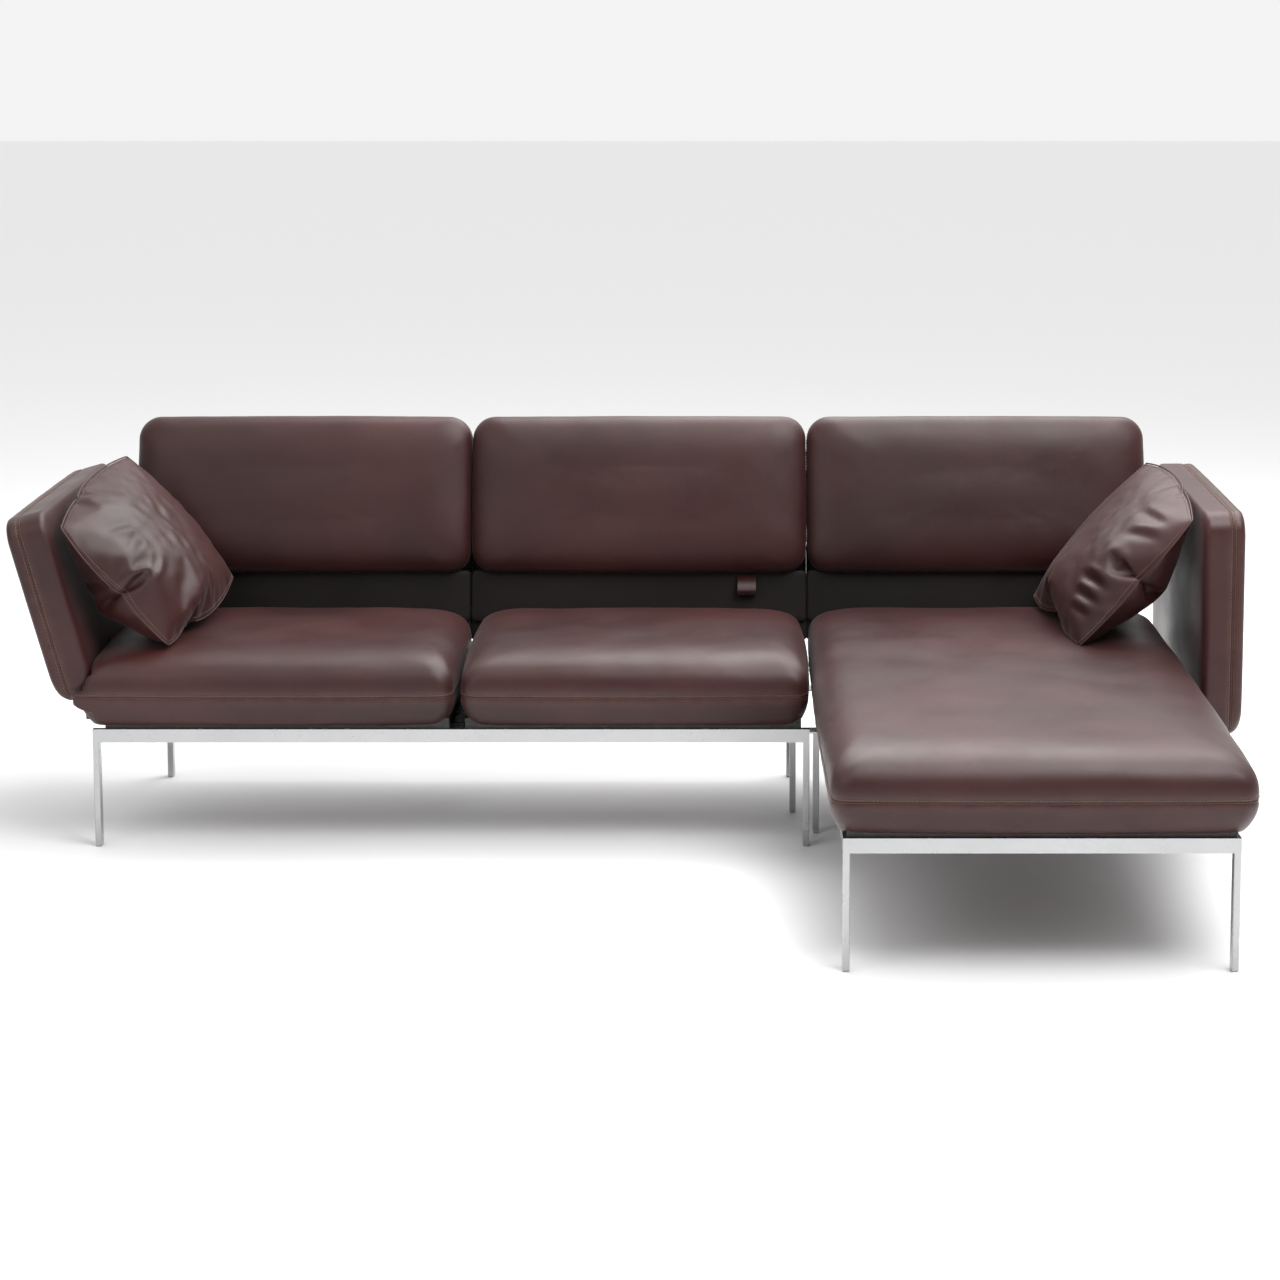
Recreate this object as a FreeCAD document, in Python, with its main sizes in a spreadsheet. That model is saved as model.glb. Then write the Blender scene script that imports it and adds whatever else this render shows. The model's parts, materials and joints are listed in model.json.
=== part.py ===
import FreeCAD
import Part
import math
import os
import re
from types import SimpleNamespace

from FreeCAD import Placement, Rotation, Vector

# Corner sofa: a two-seat module and a chaise module, coupled side by side.
# Leather cushions sit on slim flat-bar frames, and the three backs and the
# two arms tilt flat on ratchet hinges. Two loose pillows lie against the arms.
# Millimetres, +X to the sitter's left seen from the front, +Y to the rear,
# +Z up. The origin is on the floor under the centre of the whole sofa.

doc = FreeCAD.newDocument("corner_sofa")
sheet = doc.addObject("Spreadsheet::Sheet", "size")

# Driving dimensions: alias, value, note.
DRIVING = (
    ("rail_high", 30, "height of the frame bars"),
    ("rail_thick", 14, "thickness of the frame bars"),
    ("rail_base", 240, "floor to the underside of the bars"),
    ("frame_deep", 585, "front face of the sofa's front rail to the rear face of its rear rail"),
    ("sofa_long", 1602, "length of the sofa module's frame"),
    ("cross_left_inset", 54, "left end of the sofa frame to its left cross rail"),
    ("cross_right_inset", 23, "right end of the sofa frame to its right cross rail"),
    ("middle_rail_wide", 50, "width of the cross rail between the two seats"),
    ("middle_rail_centre", 815, "left end of the sofa frame to that rail's centre"),
    ("module_gap", 37, "gap between the two modules' frames"),
    ("chaise_wide", 776, "width of the chaise frame"),
    ("chaise_reach", 812, "how far the chaise frame stands in front of the sofa's"),
    ("chaise_cross_place", 420, "front of the chaise frame to its cross rail"),
    ("leg_wide", 14, "width of a leg"),
    ("leg_deep", 24, "depth of a leg, front to rear"),
    ("leg_edge", 1.5, "chamfer of a leg's long edges"),
    ("middle_leg_place", 262, "front of the sofa frame to its middle right leg"),
    ("coupling_leg_place", 98, "front of the sofa frame to the coupling leg"),
    ("chaise_middle_leg_place", 98, "front of the sofa frame to the chaise's middle right leg"),
    ("glide_high", 3, "height of a foot glide"),
    ("glide_margin", 1, "how far a glide stands back from its leg's sides"),
    ("socket_wall", 3, "wall of a leg round the socket for its glide"),
    ("spigot_long", 11, "length of a glide's spigot"),
    ("spigot_play", 0.1, "play of a spigot all round in its socket"),
    ("bolt_play", 0.05, "radial play of a bolt in its hole"),
    ("connector_thick", 4, "thickness of a module connector plate"),
    ("connector_deep", 40, "depth of a connector plate"),
    ("rear_connector_place", 480, "front of the sofa frame to the rear connector plate"),
    ("bolt_radius", 3, "shank radius of a frame bolt"),
    ("bolt_long", 16, "shank length of a frame bolt"),
    ("bolt_head_radius", 5.8, "corner radius of a frame bolt's head"),
    ("bolt_head_high", 4, "head height of a frame bolt"),
    ("back_pivot_inset", 25, "rear face of the frame to the backs' pivot"),
    ("back_pivot_rise", 70, "top of the rails to the backs' pivot"),
    ("back_lean", 14, "degrees that the backs lean at rest"),
    ("arm_left_pivot_out", 41.4, "left end of the sofa frame to the left arm's pivot"),
    ("arm_left_pivot_rise", 103, "top of the rails to the left arm's pivot"),
    ("arm_left_lean", 15.4, "degrees that the left arm leans out at rest"),
    ("arm_right_pivot_out", 106, "right end of the chaise frame to the right arm's pivot"),
    ("arm_right_pivot_rise", 20, "top of the rails to the right arm's pivot"),
    ("plate_thick", 5, "thickness of the hinge plates"),
    ("plate_play", 0.4, "gap between a hinge's two plates"),
    ("disc_radius", 26, "tooth tips of the ratchet disc"),
    ("tooth_deep", 3, "depth of a ratchet tooth"),
    ("tooth_count", 8, "teeth on the ratchet's sector"),
    ("pin_radius", 5, "radius of a hinge pin"),
    ("pin_play", 0.05, "radial play of the hinge pin"),
    ("pin_head_radius", 9, "corner radius of a hinge pin's head and nut"),
    ("pin_head_high", 3, "height of a hinge pin's head and nut"),
    ("pawl_play", 0.4, "gap between the tooth tips and the released pawl"),
    ("stud_radius", 3, "corner radius of the pawl's stud"),
    ("stud_play", 0.1, "play of the stud all round in its hole"),
    ("pawl_side", 5, "pivot to the pawl's stud, across"),
    ("pawl_drop", 36, "pivot to the pawl's stud, down"),
    ("tooth_start", 170, "degrees from the front where the ratchet's teeth begin"),
    ("tooth_end", 285, "degrees from the front where the teeth end"),
    ("neck_half", 15, "half the width of the hinge arm's neck"),
    ("hinge_bar_deep", 12, "depth of the hinge arm's upright bar"),
    ("hinge_arm_high", 140, "pivot to the top of the hinge arm"),
    ("flange_thick", 4, "thickness of the hinge arm's flange"),
    ("flange_wide", 36, "width of the hinge arm's flange"),
    ("flange_start", 40, "pivot to the bottom of the flange"),
    ("foot_margin", 2, "rail's edges to a bracket foot's edges"),
    ("bar_gap", 4, "how much lower an arm's bracket foot ends than a back's"),
    ("foot_wide", 44, "width of a hinge bracket's foot"),
    ("board_thick", 18, "thickness of the boards in backs and arms"),
    ("board_margin", 26, "cushion's outline to the board's edges"),
    ("board_start", 34, "pivot to the lower edge of a board"),
    ("hinge_slot", 20, "width of the slots that the hinges turn in"),
    ("slot_high", 32, "pivot to the upper end of those slots"),
    ("wadding", 26, "padding between a foam core and the leather's face"),
    ("edge_wadding", 42, "the same at a cushion's rounded edges"),
    ("core_corner", 20, "chamfer of a foam core's upright edges"),
    ("fit", 0.5, "gap between a cover and its foam, and round a board"),
    ("seat_frame_wide", 45, "width of the seat frames' timbers"),
    ("seat_frame_high", 24, "height of the seat frames' timbers"),
    ("seat_frame_rail_lap", 17, "how far a seat frame laps the middle rail from its edge"),
    ("seat_frame_end", 28, "left end of the sofa's frame to the first seat frame"),
    ("seat_frame_right", 19, "right end of the sofa's frame to the second seat frame"),
    ("seat_frame_rear_gap", 2, "seat cover's drawn-in rear to its frame"),
    ("seat_frame_gap", 2, "extra gap between the two sofa seat frames"),
    ("chaise_frame_inset", 8, "side of the chaise frame to its seat frame"),
    ("foam_to_arm", 4, "left arm's thickness to the first seat's foam"),
    ("seat_frame_setback", 6, "front rail's face to the front of the seat frame"),
    ("webbing_thick", 2, "thickness of the elastic webbing"),
    ("webbing_wide", 50, "width of the elastic webbing"),
    ("webbing_pitch", 105, "spacing of the elastic webbing"),
    ("reveal", 6, "dark strip between the rail and the cushion"),
    ("seam_rise", 80, "top of the rails to the cushions' front seam"),
    ("crown_rise", 98, "front seam to the top of the crown"),
    ("seat_overhang", 40, "how far a cushion's seam stands in front of the rail"),
    ("seat_gap", 5, "gap between neighbouring seat cushions at their seams"),
    ("seat_split", 815, "left end of the sofa frame to the gap between its seats"),
    ("seat_right_over", 3, "how far the second seat passes the sofa frame's right end"),
    ("seat_left_over", 35, "how far the first seat reaches under the left arm"),
    ("chaise_left_over", 31, "how far the chaise cushion passes its frame on the left"),
    ("chaise_right_over", 38, "how far the chaise cushion passes its frame on the right"),
    ("seat_rear_gap", 5, "gap between the seats and the sweep of the backs"),
    ("side_tuck", 20, "how far a cushion's side draws in below the seam"),
    ("front_tuck", 44, "how far a cushion's front draws in below the seam"),
    ("crown_inset", 170, "cushion's edge to the flat middle of its crown"),
    ("seat_corner", 40, "corner radius of a seat cushion"),
    ("seat_bow", 0.018, "bow of a seat's sides, as a share of half a side"),
    ("back_bow", 0.012, "bow of a back's sides, as a share of half a side"),
    ("arm_bow", 0.006, "bow of an arm's sides, as a share of half a side"),
    ("back_left_over", 9, "how far the first back passes the sofa frame's left end"),
    ("back_middle_over", 6, "how far the second back passes the sofa frame's right end"),
    ("back_right_over", 16, "how far the third back passes the chaise frame's right end"),
    ("back_gap", 11, "gap between neighbouring backs"),
    ("back_low", 164, "pivot to the underside of the back cushion"),
    ("back_top", 546, "pivot to the top of the back cushion"),
    ("back_front", 82, "pivot plane to the front of the back cushion"),
    ("back_rear", 28, "pivot plane to the rear of the back cushion"),
    ("back_corner", 55, "corner radius of a back cushion"),
    ("apron_start", 45, "pivot to the lower edge of the apron"),
    ("apron_front", 24, "pivot plane to the front of the apron"),
    ("apron_inset", 24, "how far the apron stands back from the cushion's ends"),
    ("apron_edge", 6, "chamfer of the apron's long edges"),
    ("seat_to_apron", 0.3, "gap between the apron and the cushion above"),
    ("arm_thick", 96, "thickness of an arm"),
    ("arm_front", -10, "front of the sofa frame to the front of the arms"),
    ("arm_rear", 715, "front of the sofa frame to the rear of the arms"),
    ("arm_left_high", 392, "left pivot to the top of the left arm"),
    ("arm_right_high", 470, "right pivot to the top of the right arm"),
    ("arm_shoulder_drop", 24, "arm's top to where its leaning side reaches furthest"),
    ("arm_shoulder_in", 9, "how far the arm's side has rounded in there"),
    ("arm_corner", 48, "radius of an arm's upper corners"),
    ("front_hinge_place", 200, "front of the sofa frame to the arms' front hinges"),
    ("rear_hinge_place", 500, "front of the sofa frame to the arms' rear hinges"),
    ("back_hinge_inset", 130, "end of a back to its hinges"),
    ("arm_clear", 2, "gap between the left arm's round foot and the first seat"),
    ("mitre_lean", 41, "degrees from upright of the seat's mitre against the left arm"),
    ("pillow_long", 470, "pillow, seam to seam, the long way"),
    ("pillow_high", 370, "pillow, seam to seam, the short way"),
    ("pillow_thick", 150, "pillow, through the middle"),
    ("pillow_left_across", 123.9, "left arm's pivot to the left pillow's middle"),
    ("pillow_left_behind", 262, "front of the sofa frame to that pillow's middle"),
    ("pillow_left_rise", 278.8, "seat seam to that pillow's middle"),
    ("pillow_right_across", 204.2, "right arm's pivot to the right pillow's middle"),
    ("pillow_right_behind", 285, "front of the sofa frame to that pillow's middle"),
    ("pillow_right_rise", 269.1, "seat seam to that pillow's middle"),
    ("pillow_corner", 22, "corner radius of a pillow"),
    ("pillow_pull", 0.066, "how far a pillow's seams draw in, as a share of half a side"),
    ("loop_wide", 45, "width of the leather pull loop"),
    ("loop_long", 36, "length of the leather pull loop above its fold"),
    ("loop_thick", 3, "thickness of the loop's leather"),
    ("loop_round", 12, "outer radius of the loop's fold"),
    ("loop_place", 261, "middle of the second back to the loop"),
    ("loop_start", 110, "pivot to the lower end of the loop"),
)

for row, (alias, value, note) in enumerate(DRIVING, start=1):
    sheet.set(f"A{row}", str(value))
    sheet.setAlias(f"A{row}", alias)
    sheet.set(f"B{row}", note)
doc.recompute()
s = SimpleNamespace(**{alias: float(sheet.get(alias)) for alias, value, note in DRIVING})

# Turns an upright pad's layers from flat to standing: x to Y, y to Z, z to X.
STAND = Rotation(Vector(1, 1, 1), 120)
LYING = Rotation(Vector(1, 0, 0), 90)

# Places that follow from the driving dimensions.
rail_top = s.rail_base + s.rail_high
arm_half = s.arm_thick / 2
left_sine = math.sin(math.radians(s.arm_left_lean))
left_cosine = math.cos(math.radians(s.arm_left_lean))
left_shoulder = s.arm_left_high - s.arm_shoulder_drop
left_side = arm_half - s.arm_shoulder_in
left_reach = s.arm_left_pivot_out + left_shoulder * left_sine + left_side * left_cosine
right_reach = s.arm_right_pivot_out + arm_half
total_wide = left_reach + s.sofa_long + s.module_gap + s.chaise_wide + right_reach
total_deep = s.chaise_reach + s.seat_overhang + s.arm_rear
sofa_x = left_reach - total_wide / 2
sofa_right = sofa_x + s.sofa_long
chaise_x = sofa_right + s.module_gap
chaise_right = chaise_x + s.chaise_wide
front_y = s.chaise_reach + s.seat_overhang - total_deep / 2
rear_y = front_y + s.frame_deep
chaise_front = front_y - s.chaise_reach
back_pivot_y = rear_y - s.back_pivot_inset
back_pivot_z = rail_top + s.back_pivot_rise
seat_rear = back_pivot_y - s.disc_radius - s.seat_rear_gap
seam_z = rail_top + s.seam_rise
crown_z = seam_z + s.crown_rise
seat_frame_top = rail_top + s.seat_frame_high
foam_base = seat_frame_top + s.webbing_thick
arm_middle = front_y + (s.arm_front + s.arm_rear) / 2
arm_long = s.arm_rear - s.arm_front

nodes = {}


def formula(words):
    """Expression text in which each alias is read from the sheet."""
    return re.sub(r"[a-z_]{3,}", lambda found: "size." + found.group(0), words)


def keep(name, thing):
    """Marks an object as a piece that is exported under this name."""
    thing.Label = name
    nodes[name] = thing
    return thing


def box(length, width, height, x, y, z):
    """Box whose sizes are bound to the sheet, with its low corner at a point."""
    bar = doc.addObject("Part::Box", "bar")
    bar.setExpression("Length", formula(length))
    bar.setExpression("Width", formula(width))
    bar.setExpression("Height", formula(height))
    bar.Placement.Base = Vector(x, y, z)
    return bar


def rod(radius, length, start, turn=Rotation()):
    """Cylinder bound to the sheet, from a point along the turned Z axis."""
    bar = doc.addObject("Part::Cylinder", "rod")
    bar.setExpression("Radius", formula(radius))
    bar.setExpression("Height", formula(length))
    bar.Placement = Placement(start, turn)
    return bar


def hexagon(radius, height, start):
    """Six-sided head or nut bound to the sheet, from a point along Z."""
    prism = doc.addObject("Part::Prism", "hexagon")
    prism.Polygon = 6
    prism.setExpression("Circumradius", formula(radius))
    prism.setExpression("Height", formula(height))
    prism.Placement.Base = start
    return prism


def join(*things):
    fused = doc.addObject("Part::MultiFuse", "joined")
    fused.Shapes = list(things)
    return fused


def group(*things):
    """Separate solids that share a node."""
    bundle = doc.addObject("Part::Compound", "group")
    bundle.Links = list(things)
    return bundle


def cut(base, tools):
    """Base less every tool."""
    cutter = tools[0] if len(tools) == 1 else group(*tools)
    result = doc.addObject("Part::Cut", "cut")
    result.Base = base
    result.Tool = cutter
    return result


def fixed(shape, name="form"):
    """Object that holds a shape made with Part's own functions."""
    thing = doc.addObject("Part::Feature", name)
    thing.Shape = shape
    return thing


def copy_of(thing, place):
    """Copy of an object's shape, moved by a placement."""
    doc.recompute()
    copied = fixed(thing.Shape.copy(), "copy")
    copied.Placement = place.multiply(thing.Placement)
    return copied


def sketch_in(body, outline, holes=()):
    """Sketch on the body's XY plane: lines and arcs, and round holes."""
    sketch = body.newObject("Sketcher::SketchObject", "outline")
    plane = next(part for part in body.Origin.OriginFeatures if part.Role == "XY_Plane")
    sketch.AttachmentSupport = [(plane, "")]
    sketch.MapMode = "FlatFace"
    sketch.addGeometry(list(outline))
    for x, y, radius in holes:
        sketch.addGeometry(Part.Circle(Vector(x, y, 0), Vector(0, 0, 1), radius))
    return sketch


def pad(body, outline, depth, holes=()):
    """Pad of a sketch, with its depth bound to the sheet."""
    sketch = sketch_in(body, outline, holes)
    feature = body.newObject("PartDesign::Pad", "pad")
    feature.Profile = sketch
    feature.setExpression("Length", formula(depth))
    doc.recompute()
    return feature


def lines(points, closed=True):
    """Straight edges through points in the XY plane."""
    corners = [Vector(x, y, 0) for x, y in points]
    ends = corners[1:] + corners[:1] if closed else corners[1:]
    return [Part.LineSegment(a, b) for a, b in zip(corners, ends)]


def rectangle(x0, x1, y0, y1):
    return lines([(x0, y0), (x1, y0), (x1, y1), (x0, y1)])


def on_circle(radius, degrees):
    """Point on a circle about the origin of the XY plane."""
    angle = math.radians(degrees)
    return Vector(radius * math.cos(angle), radius * math.sin(angle), 0)


def arc(radius, start, end):
    """Arc about the origin, from one angle to another."""
    middle = on_circle(radius, (start + end) / 2)
    return Part.Arc(on_circle(radius, start), middle, on_circle(radius, end))


# Soft forms are ruled lofts through level outlines. An outline's sides bow in
# proportion to their length, so that each loft's faces come out flat.


def outline(level, a0, a1, b0, b1, radius, slope):
    """Closed outline in four limits, with bowed sides and rounded corners."""
    mid_a, mid_b = (a0 + a1) / 2, (b0 + b1) / 2
    whole_a, whole_b = (a1 - a0) / 2 - radius, (b1 - b0) / 2 - radius
    reach = max(slope, 0)
    half_a = (whole_a - reach * whole_b) / (1 - reach**2)
    half_b = (whole_b - reach * whole_a) / (1 - reach**2)
    side_a, side_b = half_a + radius + slope * half_b, half_b + radius + slope * half_a
    points = []
    for way_a, way_b, start, side in (
        (1, -1, -90, (mid_a + side_a, mid_b)),
        (1, 1, 0, (mid_a, mid_b + side_b)),
        (-1, 1, 90, (mid_a - side_a, mid_b)),
        (-1, -1, 180, (mid_a, mid_b - side_b)),
    ):
        centre = Vector(mid_a + way_a * half_a, mid_b + way_b * half_b, level)
        points += [centre + on_circle(radius, start + turn) for turn in (0, 30, 60, 90)]
        points.append(Vector(*side, level))
    return Part.makePolygon([*points, points[0]])


def loft(layers):
    """Ruled loft through the layers' outlines, rebuilt with straight edges."""
    form = Part.makeLoft([outline(*layer) for layer in layers], True, True)
    planes = []
    for face in form.Faces:
        corners = [vertex.Point for vertex in face.OuterWire.OrderedVertexes]
        planes.append(Part.Face(Part.makePolygon([*corners, corners[0]])))
    shell = Part.makeShell(planes)
    shell.sewShape()
    return Part.makeSolid(shell)


def block(x0, x1, y0, y1, z0, z1):
    """Plain box between two corners, for pockets."""
    return Part.makeBox(x1 - x0, y1 - y0, z1 - z0, Vector(x0, y0, z0))


def core_block(limits, wall):
    """Foam block with chamfered upright edges, smaller by a wall all round."""
    x0, x1, y0, y1, z0, z1 = limits
    solid = block(x0 + wall, x1 - wall, y0 + wall, y1 - wall, z0 + wall, z1 - wall)
    upright = [edge for edge in solid.Edges if edge.BoundBox.ZLength > (z1 - z0) / 2]
    return solid.makeChamfer(s.core_corner - wall, upright)


def upholstered(form, core, pockets):
    """Padded cover with a hollow, and the foam core that fills the hollow."""
    cover = form.cut([core_block(core, 0), *pockets])
    foam = core_block(core, s.fit).cut(pockets)
    return cover, foam


# Hinges: each bracket is welded to a frame bar and carries a pin and a pawl.

BACK_TURN = Rotation(Vector(0, 0, 1), -90)
LEFT_TURN = Rotation()
RIGHT_TURN = Rotation(Vector(0, 0, 1), 180)

left_pivot = Vector(sofa_x - s.arm_left_pivot_out, arm_middle, rail_top + s.arm_left_pivot_rise)
right_pivot = Vector(
    chaise_right + s.arm_right_pivot_out, arm_middle, rail_top + s.arm_right_pivot_rise
)
left_hinges = [
    front_y + place - arm_middle for place in (s.front_hinge_place, s.rear_hinge_place)
]
right_hinges = [-offset for offset in left_hinges]

# Two equal backs span the sofa's frame, and one spans the chaise's.
first_left = sofa_x - s.back_left_over
sofa_backs_end = sofa_right + s.back_middle_over
sofa_back_wide = (sofa_backs_end - first_left - s.back_gap) / 2
third_left = sofa_backs_end + s.back_gap
back_spans = (
    ("left", first_left, sofa_back_wide),
    ("middle", first_left + sofa_back_wide + s.back_gap, sofa_back_wide),
    ("right", third_left, chaise_right + s.back_right_over - third_left),
)
backs = [
    (name, Vector(left + wide / 2, back_pivot_y, back_pivot_z), wide)
    for name, left, wide in back_spans
]


def back_hinges(wide):
    return [-(wide / 2 - s.back_hinge_inset), wide / 2 - s.back_hinge_inset]


# Each bracket's profile, seen along its pivot: x towards the sitter, y up.
rear_rail_x = s.rail_thick - s.back_pivot_inset
left_rail_x = s.arm_left_pivot_out + s.cross_left_inset
right_rail_x = s.arm_right_pivot_out
web_half = s.plate_thick * 3.2


def bracket(points, foot_x, foot_low, foot_high):
    """Hinge bracket: disc and web in one plate, and a foot across its end."""
    body = doc.addObject("PartDesign::Body", "bracket")
    disc = s.disc_radius - s.tooth_deep
    start, end = points[0], points[-1]
    first = math.degrees(math.atan2(start[1], start[0]))
    last = math.degrees(math.atan2(end[1], end[0]))
    edges = lines(points, closed=False)
    over = arc(disc, last, first + 360)
    stud_hole = lines([stud_point(i, s.stud_play) for i in range(6)])
    round_hole = [(0, 0, s.pin_radius + s.pin_play)]
    pad(body, edges + [over] + stud_hole, "plate_thick", round_hole)
    pad(body, rectangle(foot_x, foot_x + s.plate_thick, foot_low, foot_high), "foot_wide")
    return body


def rim_point(degrees):
    """Point on the bracket's disc."""
    point = on_circle(s.disc_radius - s.tooth_deep, degrees)
    return (point.x, point.y)


def stud_point(corner, play=0):
    """Corner of the six-sided stud that carries the pawl."""
    point = on_circle(s.stud_radius + play, 60 * corner)
    return (point.x - s.pawl_side, point.y - s.pawl_drop)


def foot_span(rise):
    """Lower and upper edge of a foot on a rail, from the pivot."""
    return -rise - s.rail_high + s.foot_margin, -rise - s.foot_margin


back_foot = foot_span(s.back_pivot_rise)
left_foot = foot_span(s.arm_left_pivot_rise)
right_foot = foot_span(s.arm_right_pivot_rise)

back_bracket = bracket(
    [
        rim_point(190),
        (rear_rail_x, -s.back_pivot_rise + s.foot_margin),
        (rear_rail_x, back_foot[0]),
        (web_half, back_foot[0]),
        (web_half, -50),
        rim_point(-10),
    ],
    rear_rail_x,
    *back_foot,
)
left_bracket = bracket(
    [
        rim_point(200),
        (-web_half, left_foot[0]),
        (left_rail_x, left_foot[0]),
        (left_rail_x, left_foot[1] - s.bar_gap),
        (s.bar_gap, left_foot[1] - s.bar_gap),
        (s.bar_gap, -45),
        rim_point(-10),
    ],
    left_rail_x - s.plate_thick,
    left_foot[0],
    left_foot[1] - s.bar_gap,
)
right_bracket = bracket(
    [
        rim_point(195),
        (-web_half, right_foot[0]),
        (right_rail_x, right_foot[0]),
        (right_rail_x, right_foot[1] - s.bar_gap),
        (right_rail_x - 40, right_foot[1] - s.bar_gap),
        rim_point(-15),
    ],
    right_rail_x - s.plate_thick,
    right_foot[0],
    right_foot[1] - s.bar_gap,
)


def hinge_arm():
    """Moving half: toothed disc, upright bar and a flange for the board."""
    body = doc.addObject("PartDesign::Body", "hinge_arm")
    tip, root = s.disc_radius, s.disc_radius - s.tooth_deep
    first, last = s.tooth_start, s.tooth_end
    step = (last - first) / s.tooth_count
    teeth = []
    for i in range(int(s.tooth_count)):
        angle = first + i * step
        valley, peak = on_circle(root, angle), on_circle(tip, angle + 0.8 * step)
        teeth.append(Part.LineSegment(valley, peak))
        teeth.append(Part.LineSegment(peak, on_circle(root, angle + step)))
    half = s.neck_half
    side = math.degrees(math.acos(half / tip))
    rise = tip * math.sin(math.radians(side))
    face = s.board_thick / 2
    neck_top = s.board_start - 4
    edges = [
        Part.LineSegment(on_circle(root, last), on_circle(tip, last)),
        arc(tip, last - 360, side),
    ]
    edges += lines(
        [
            (half, rise),
            (face + s.hinge_bar_deep, neck_top + 6),
            (face + s.hinge_bar_deep, s.hinge_arm_high),
            (face, s.hinge_arm_high),
            (face, neck_top),
            (-half, neck_top),
            (-half, rise),
        ],
        closed=False,
    )
    edges.append(arc(tip, 180 - side, first))
    edges.append(Part.LineSegment(on_circle(tip, first), on_circle(root, first)))
    pad(body, edges + teeth, "plate_thick", [(0, 0, s.pin_radius + s.pin_play)])
    flange = rectangle(face, face + s.flange_thick, s.flange_start, s.hinge_arm_high)
    pad(body, flange, "flange_wide")
    return body


def pawl():
    """Ratchet pawl with the stud that carries it on the bracket."""
    body = doc.addObject("PartDesign::Body", "pawl")
    y = -s.pawl_drop
    nose = (0.0, -s.disc_radius - s.pawl_play)
    points = [nose, (5, y + 6), (3, y - 2), (-2, y - 6), (-9, y - 5), (-11, y + 2), (-7, y + 6)]
    pad(body, lines(points), "plate_thick")
    stud = lines([stud_point(i) for i in range(6)])
    pad(body, stud, "2 * plate_thick + plate_play")
    return body


def hinge_pin():
    """Shoulder bolt and nut through a bracket and the hinge arm beside it."""
    reach = s.plate_thick * 2 + s.plate_play + s.pin_play
    shank = rod("pin_radius", "2 * plate_thick + plate_play + pin_play", Vector())
    head = hexagon("pin_head_radius", "pin_head_high", Vector(0, 0, -s.pin_head_high))
    nut = hexagon("pin_head_radius", "pin_head_high", Vector(0, 0, reach))
    return join(shank, head, nut)


def frame_bolt():
    """Hexagon-headed frame bolt: its head lies below the XY plane."""
    shank = rod("bolt_radius", "bolt_long", Vector())
    head = hexagon("bolt_head_radius", "bolt_head_high", Vector(0, 0, -s.bolt_head_high))
    return join(shank, head)


one_hinge_arm, one_pawl, one_pin = hinge_arm(), pawl(), hinge_pin()


def at_hinge(offset, beside=0.0):
    """From a hinge's own plane to its unit: LYING sends z to -Y."""
    return Placement(Vector(0, offset - beside, 0), LYING)


def fixed_parts(pivot, turn, offsets, shape):
    """One unit's brackets, pins and pawls."""
    base = Placement(pivot, turn)
    moving = -(s.plate_thick + s.plate_play)
    made = []
    for offset in offsets:
        bracket_copy = copy_of(shape, base.multiply(at_hinge(offset)))
        pin = copy_of(one_pin, base.multiply(at_hinge(offset, moving - s.pin_play)))
        pawl_copy = copy_of(one_pawl, base.multiply(at_hinge(offset, moving)))
        made.append((bracket_copy, pin, pawl_copy))
    return made


fixed_hinges = [
    fixed_parts(pivot, BACK_TURN, back_hinges(wide), back_bracket)
    for name, pivot, wide in backs
]
fixed_hinges.append(fixed_parts(left_pivot, LEFT_TURN, left_hinges, left_bracket))
fixed_hinges.append(fixed_parts(right_pivot, RIGHT_TURN, right_hinges, right_bracket))

every_hinge = [hinge for unit in fixed_hinges for hinge in unit]
keep("back_hinge_brackets", group(*[hinge[0] for unit in fixed_hinges[:3] for hinge in unit]))
keep("arm_hinge_brackets", group(*[hinge[0] for unit in fixed_hinges[3:] for hinge in unit]))
keep("hinge_pins", group(*[hinge[1] for hinge in every_hinge]))
keep("ratchet_pawls", group(*[hinge[2] for hinge in every_hinge]))

# Connector plates under the facing rails of the two modules, and their bolts.
cross_right_x = sofa_right - s.cross_right_inset - s.rail_thick
connector_y = [front_y + s.coupling_leg_place + s.leg_deep / 2 - s.connector_deep / 2]
connector_y.append(front_y + s.rear_connector_place)
plate_z = s.rail_base - s.connector_thick
bolt_x = (cross_right_x + s.rail_thick / 2, chaise_x + s.rail_thick / 2)
plates = []
for y in connector_y:
    plate = box(
        "cross_right_inset + module_gap + 2 * rail_thick",
        "connector_deep",
        "connector_thick",
        cross_right_x,
        y,
        plate_z,
    )
    holes = [
        rod(
            "bolt_radius + bolt_play",
            "connector_thick",
            Vector(x, y + s.connector_deep / 2, plate_z),
        )
        for x in bolt_x
    ]
    plates.append(cut(plate, holes))
keep("module_connectors", group(*plates))

bolt_y = [y + s.connector_deep / 2 for y in connector_y]
bolts = [
    copy_of(frame_bolt(), Placement(Vector(x, y, plate_z), Rotation()))
    for x in bolt_x
    for y in bolt_y
]
keep("frame_bolts", group(*bolts))


def tapped(bar, x):
    """Bar less the holes of the bolts that enter it from below."""
    holes = [rod("bolt_radius + bolt_play", "bolt_long", Vector(x, y, plate_z)) for y in bolt_y]
    return cut(bar, holes)


RAIL = ("rail_thick", "rail_high")
rear_rail_y = rear_y - s.rail_thick
inner_y = front_y + s.rail_thick
keep("sofa_front_rail", box("sofa_long", *RAIL, sofa_x, front_y, s.rail_base))
keep("sofa_rear_rail", box("sofa_long", *RAIL, sofa_x, rear_rail_y, s.rail_base))
keep("chaise_front_rail", box("chaise_wide", *RAIL, chaise_x, chaise_front, s.rail_base))
keep("chaise_rear_rail", box("chaise_wide", *RAIL, chaise_x, rear_rail_y, s.rail_base))

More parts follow.
